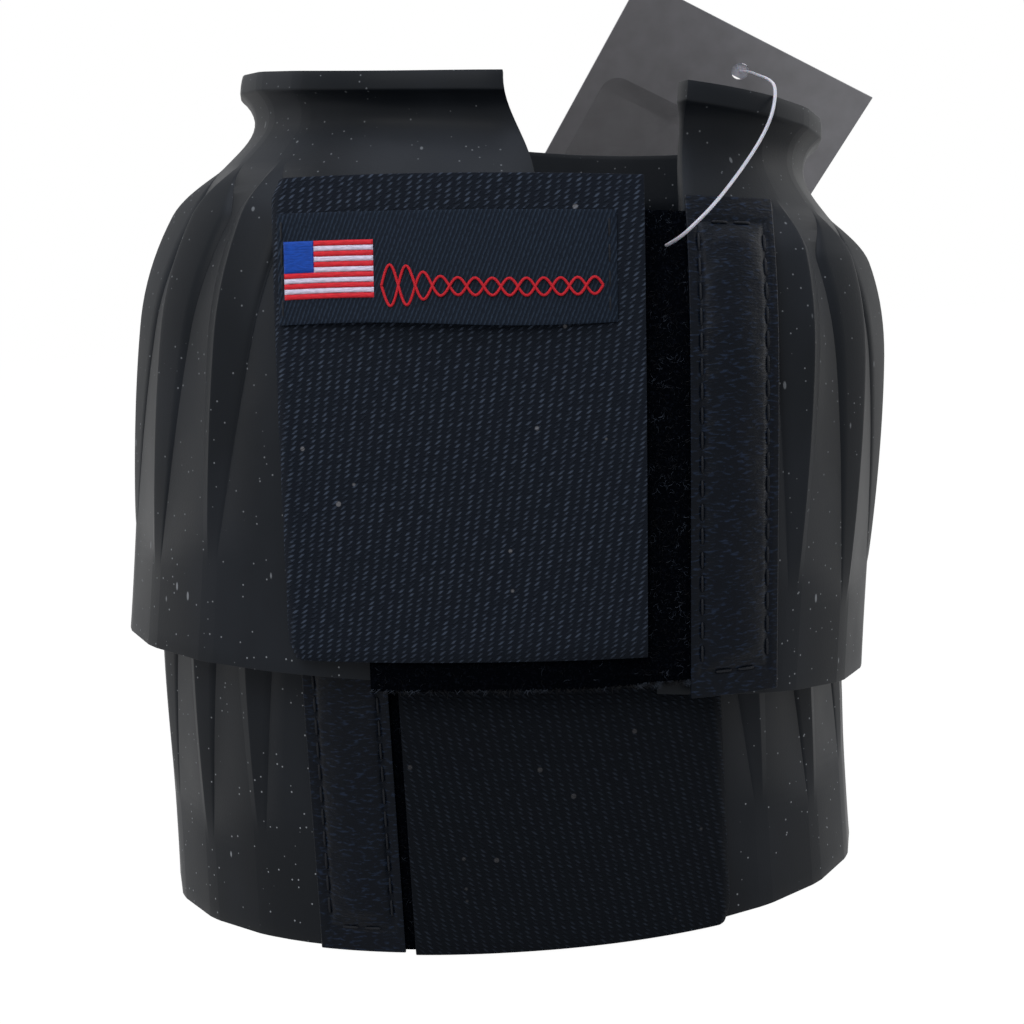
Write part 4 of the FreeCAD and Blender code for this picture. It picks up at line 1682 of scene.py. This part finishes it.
def make_flag(boot):
    """The flag: eleven stripes, as many as so small a label can hold, and a plain canton."""
    (start, _), (low, _) = label_box(boot)
    left, foot = start + FLAG_LEFT, low + FLAG_FOOT
    stripe = FLAG_HIGH / FLAG_STRIPES
    canton = (left + FLAG_WIDE * CANTON_SHARE, foot + CANTON_FOOT * stripe)
    for number in range(FLAG_STRIPES):
        bottom = foot + number * stripe
        begin = canton[0] if bottom >= canton[1] - 0.01 else left
        tone = "red" if number % 2 == 0 else "white"
        box = (begin, left + FLAG_WIDE), (bottom, bottom + stripe)
        make_patch(boot, f"flag_stripe_{number + 1}", box, tone, STITCH_RAISE)
    box = (left, canton[0]), (canton[1], foot + FLAG_HIGH)
    make_patch(boot, "flag_canton", box, "blue", STITCH_RAISE)


def make_border(boot):
    """A red running cord of two crossing waves, an old border pattern, beside the flag."""
    (_, end), (low, _) = label_box(boot)
    start = boot.spine + millimetres("label", "start") + BORDER_START
    end, middle = end - BORDER_MARGIN, low + BORDER_MIDDLE
    period = (end - start) / (BORDER_LOOPS / 2)
    for wave in (0, 1):
        along = np.array(spread(start, end, 12 * BORDER_LOOPS))
        phase = 2 * math.pi * (along - start) / period + wave * math.pi
        swing = 1.7 + 2.6 * np.exp(-np.square((along - start - 3) / 6))
        up = middle + swing * np.sin(phase)
        over = 0.25 * (1 + np.cos(phase / 2 + wave * math.pi / 2))
        points = label_point(boot, along, up, millimetres("label", "thick") + 0.1 + 0.5 * over)
        curve = bpy.data.curves.new(f"{boot.name}_border_cord_{wave + 1}", "CURVE")
        curve.dimensions = "3D"
        spline = curve.splines.new("POLY")
        spline.points.add(len(points) - 1)
        spline.points.foreach_set("co", np.c_[points, np.ones(len(points))].ravel())
        curve.bevel_depth = BORDER_CORD * MM
        curve.bevel_resolution = 2
        curve.use_fill_caps = True
        cord = bpy.data.objects.new(curve.name, curve)
        bpy.context.scene.collection.objects.link(cord)
        alone(cord)
        bpy.ops.object.convert(target="MESH")
        cord = bpy.context.object
        bpy.ops.object.shade_smooth_by_angle(angle=math.radians(60))
        finish(cord, body_of(boot, "closure_flap"), "label_cloth", finish_of("red"))


def make_label_seams(boot):
    (start, end), (low, high) = label_box(boot)
    seams = [((a, low + 0.4), (a, high - 0.4)) for a in (start + 1.0, end - 1.6)]
    lift = LABEL_LOW + millimetres("label", "thick") + 0.1
    return make_seams(
        "label_stitches", boot, seams, lift, 1.0, body_of(boot, "closure_flap"), "thread",
        "thread", f"{boot.name}_label_stitching", thick=0.5,
    )


# ---- hang tag -------------------------------------------------------------------------------
def make_tag():
    """Dresses the card, its sticker and the filament's ends, which keep their solids."""
    looks = {"hang_tag": "card", "tag_sticker": "film", "tag_paddle": "nylon", "tag_t_bar": "nylon"}
    for name, look in looks.items():
        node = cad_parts[name]
        node.data.materials.clear()
        node.data.materials.append(finish_of(look))


def make_filament():
    """The nylon filament, a smooth line through its route."""
    curve = bpy.data.curves.new("tag_filament_line", "CURVE")
    curve.dimensions = "3D"
    spline = curve.splines.new("NURBS")
    points = (np.array(FILAMENT_ROUTE) + ORIGIN) * MM
    spline.points.add(len(points) - 1)
    spline.points.foreach_set("co", np.c_[points, np.ones(len(points))].ravel())
    spline.order_u = 3
    spline.use_endpoint_u = True
    spline.resolution_u = 12
    curve.bevel_depth = settings("tag").filament / 2
    curve.bevel_resolution = 4
    curve.use_fill_caps = True
    filament = bpy.data.objects.new(curve.name, curve)
    bpy.context.scene.collection.objects.link(filament)
    finish(filament, "upper_boot", "nylon", finish_of("nylon"), "tag_filament")
    settings("tag").filament
    return filament


# ---- stage ----------------------------------------------------------------------------------
LAMP_TARGET = (0, 0, 0.1)
LAMPS = (  # name, setting of its power, place and size in metres, colour
    ("lamp_left", "side_lamp", (-0.8, 0.15, 0.45), (0.5, 0.9), "#ffffff"),
    ("lamp_right", "side_lamp", (0.85, 0.25, 0.35), (0.4, 0.8), "#ffffff"),
    ("lamp_front", "front_lamp", (-0.25, -0.9, 0.75), (0.7, 0.5), "#ffffff"),
    ("lamp_top", "top_lamp", (0.0, -0.25, 1.1), (0.8, 0.6), "#e6eeff"),
)


def area_lamp(name, place, size, watts, tone):
    data = bpy.data.lights.new(name, "AREA")
    data.energy = watts
    data.color = linear(tone)
    data.shape = "RECTANGLE"
    data.size, data.size_y = size
    lamp = bpy.data.objects.new(name, data)
    lamp.location = place
    lamp.rotation_euler = (Vector(LAMP_TARGET) - Vector(place)).to_track_quat("-Z", "Y").to_euler()
    bpy.context.scene.collection.objects.link(lamp)
    return lamp


def seen_directly(tree):
    """1 for rays that show the backdrop: from the camera, a reflection or through glass."""
    path = add(tree, "LightPath").outputs
    reflected = add(
        tree,
        "Math",
        {0: path["Is Glossy Ray"], 1: path["Is Transmission Ray"]},
        operation="MAXIMUM",
    ).outputs[0]
    return add(
        tree, "Math", {0: path["Is Camera Ray"], 1: reflected}, operation="MAXIMUM"
    ).outputs[0]


def make_world():
    world = bpy.data.worlds.new("studio")
    bpy.context.scene.world = world
    world.use_nodes = True
    tree = world.node_tree
    tree.nodes.clear()
    strength = settings("stage").world
    seen = seen_directly(tree)
    level = add(
        tree,
        "MapRange",
        {"Value": seen, "From Min": 0.0, "From Max": 1.0, "To Min": strength, "To Max": 1.0},
        interpolation_type="SMOOTHSTEP",
    ).outputs[0]
    sky = add(tree, "Background", {"Color": (1, 1, 1, 1), "Strength": level})
    add(tree, "OutputWorld", {"Surface": sky.outputs[0]})


def make_floor():
    alone()
    bpy.ops.mesh.primitive_plane_add(size=6)
    floor = bpy.context.object
    floor.name = floor.data.name = "studio_floor"
    made, tree = material("pale_studio_floor")
    matt = add(tree, "BsdfDiffuse", {"Color": linear("#b4b4b4")})
    glow = add(tree, "Emission", {"Color": (1, 1, 1, 1), "Strength": 1.06})
    share_seen = add(
        tree, "Math", {0: seen_directly(tree), 1: 0.93}, operation="MULTIPLY"
    ).outputs[0]
    both = add(tree, "MixShader", {0: share_seen, 1: matt.outputs[0], 2: glow.outputs[0]})
    add(tree, "OutputMaterial", {"Surface": both.outputs[0]})
    floor.data.materials.append(made)


def make_camera():
    stage = settings("stage")
    data = bpy.data.cameras.new("camera")
    data.lens = stage.lens
    data.sensor_width = 36
    data.clip_start = 0.01
    camera = bpy.data.objects.new("camera", data)
    turn = Matrix.Rotation(math.radians(90 - stage.pitch), 4, "X")
    roll = Matrix.Rotation(math.radians(stage.roll), 4, "Z")
    place = Vector(stage.camera) + Vector(ORIGIN) * MM
    camera.matrix_world = Matrix.Translation(place) @ turn @ roll
    bpy.context.scene.collection.objects.link(camera)
    bpy.context.scene.camera = camera


# ---- operators ------------------------------------------------------------------------------
class BOOTS_OT_camera(bpy.types.Operator):
    """Place the camera"""

    bl_idname = "boots.camera"
    bl_label = "Camera"

    def execute(self, context):
        make_camera()
        return {"FINISHED"}


class BOOTS_OT_filament(bpy.types.Operator):
    """Run the tag's nylon filament"""

    bl_idname = "boots.filament"
    bl_label = "Filament"

    def execute(self, context):
        make_filament()
        return {"FINISHED"}


class BOOTS_OT_tag(bpy.types.Operator):
    """Dress the hang tag's card, its sticker and the filament's ends"""

    bl_idname = "boots.tag"
    bl_label = "Hang tag"

    def execute(self, context):
        make_tag()
        return {"FINISHED"}


class BOOTS_OT_bells(bpy.types.Operator):
    """Mould the two ribbed rubber bells"""

    bl_idname = "boots.bells"
    bl_label = "Bells"

    def execute(self, context):
        for boot in BOOTS:
            make_bell(boot)
        return {"FINISHED"}


class BOOTS_OT_tapes(bpy.types.Operator):
    """Make the hook tapes, the loop tapes and their backings"""

    bl_idname = "boots.tapes"
    bl_label = "Tapes"

    def execute(self, context):
        for boot in BOOTS:
            make_tape(boot, leaf=True)
            make_tape(boot, leaf=False)
            make_loop(boot)
            make_backings(boot)
        return {"FINISHED"}


class BOOTS_OT_strips(bpy.types.Operator):
    """Make the padded leatherette strips"""

    bl_idname = "boots.strips"
    bl_label = "Strips"

    def execute(self, context):
        for boot in BOOTS:
            make_strip(boot)
        return {"FINISHED"}


class BOOTS_OT_stitches(bpy.types.Operator):
    """Sew the strips, the hook tapes and the labels"""

    bl_idname = "boots.stitches"
    bl_label = "Stitches"

    def execute(self, context):
        for boot in BOOTS:
            make_strip_seams(boot)
            make_hook_seams(boot)
            make_label_seams(boot)
        return {"FINISHED"}


class BOOTS_OT_labels(bpy.types.Operator):
    """Weave the labels, with a flag and a border"""

    bl_idname = "boots.labels"
    bl_label = "Labels"

    def execute(self, context):
        for boot in BOOTS:
            make_label(boot)
            make_flag(boot)
            make_border(boot)
        return {"FINISHED"}


class BOOTS_OT_stage(bpy.types.Operator):
    """Set the floor, the lamps and the backdrop"""

    bl_idname = "boots.stage"
    bl_label = "Stage"

    def execute(self, context):
        make_world()
        make_floor()
        for name, power, place, size, tone in LAMPS:
            area_lamp(name, place, size, getattr(settings("stage"), power), tone)
        bpy.context.scene.view_settings.view_transform = "Standard"
        return {"FINISHED"}


OPERATORS = (
    BOOTS_OT_camera,
    BOOTS_OT_tag,
    BOOTS_OT_filament,
    BOOTS_OT_bells,
    BOOTS_OT_tapes,
    BOOTS_OT_strips,
    BOOTS_OT_stitches,
    BOOTS_OT_labels,
    BOOTS_OT_stage,
)


class BOOTS_PT_panel(bpy.types.Panel):
    """The boots' pieces and their sizes"""

    bl_label = "Bell boots"
    bl_idname = "BOOTS_PT_panel"
    bl_space_type = "VIEW_3D"
    bl_region_type = "UI"
    bl_category = "Bell boots"

    def draw(self, context):
        for group, kind in GROUPS.items():
            box = self.layout.box()
            box.label(text=group.capitalize())
            for name in kind.__annotations__:
                box.prop(settings(group), name)
        for operator in OPERATORS:
            self.layout.operator(operator.bl_idname)


CLASSES = (*GROUPS.values(), *OPERATORS, BOOTS_PT_panel)


def register():
    for kind in CLASSES:
        bpy.utils.register_class(kind)
    for group, kind in GROUPS.items():
        setattr(bpy.types.Scene, f"boots_{group}", bpy.props.PointerProperty(type=kind))


def unregister():
    for group in GROUPS:
        delattr(bpy.types.Scene, f"boots_{group}")
    for kind in reversed(CLASSES):
        bpy.utils.unregister_class(kind)


def main():
    register()
    for operator in OPERATORS:
        family, name = operator.bl_idname.split(".")
        getattr(getattr(bpy.ops, family), name)()


if __name__ == "__main__":
    main()
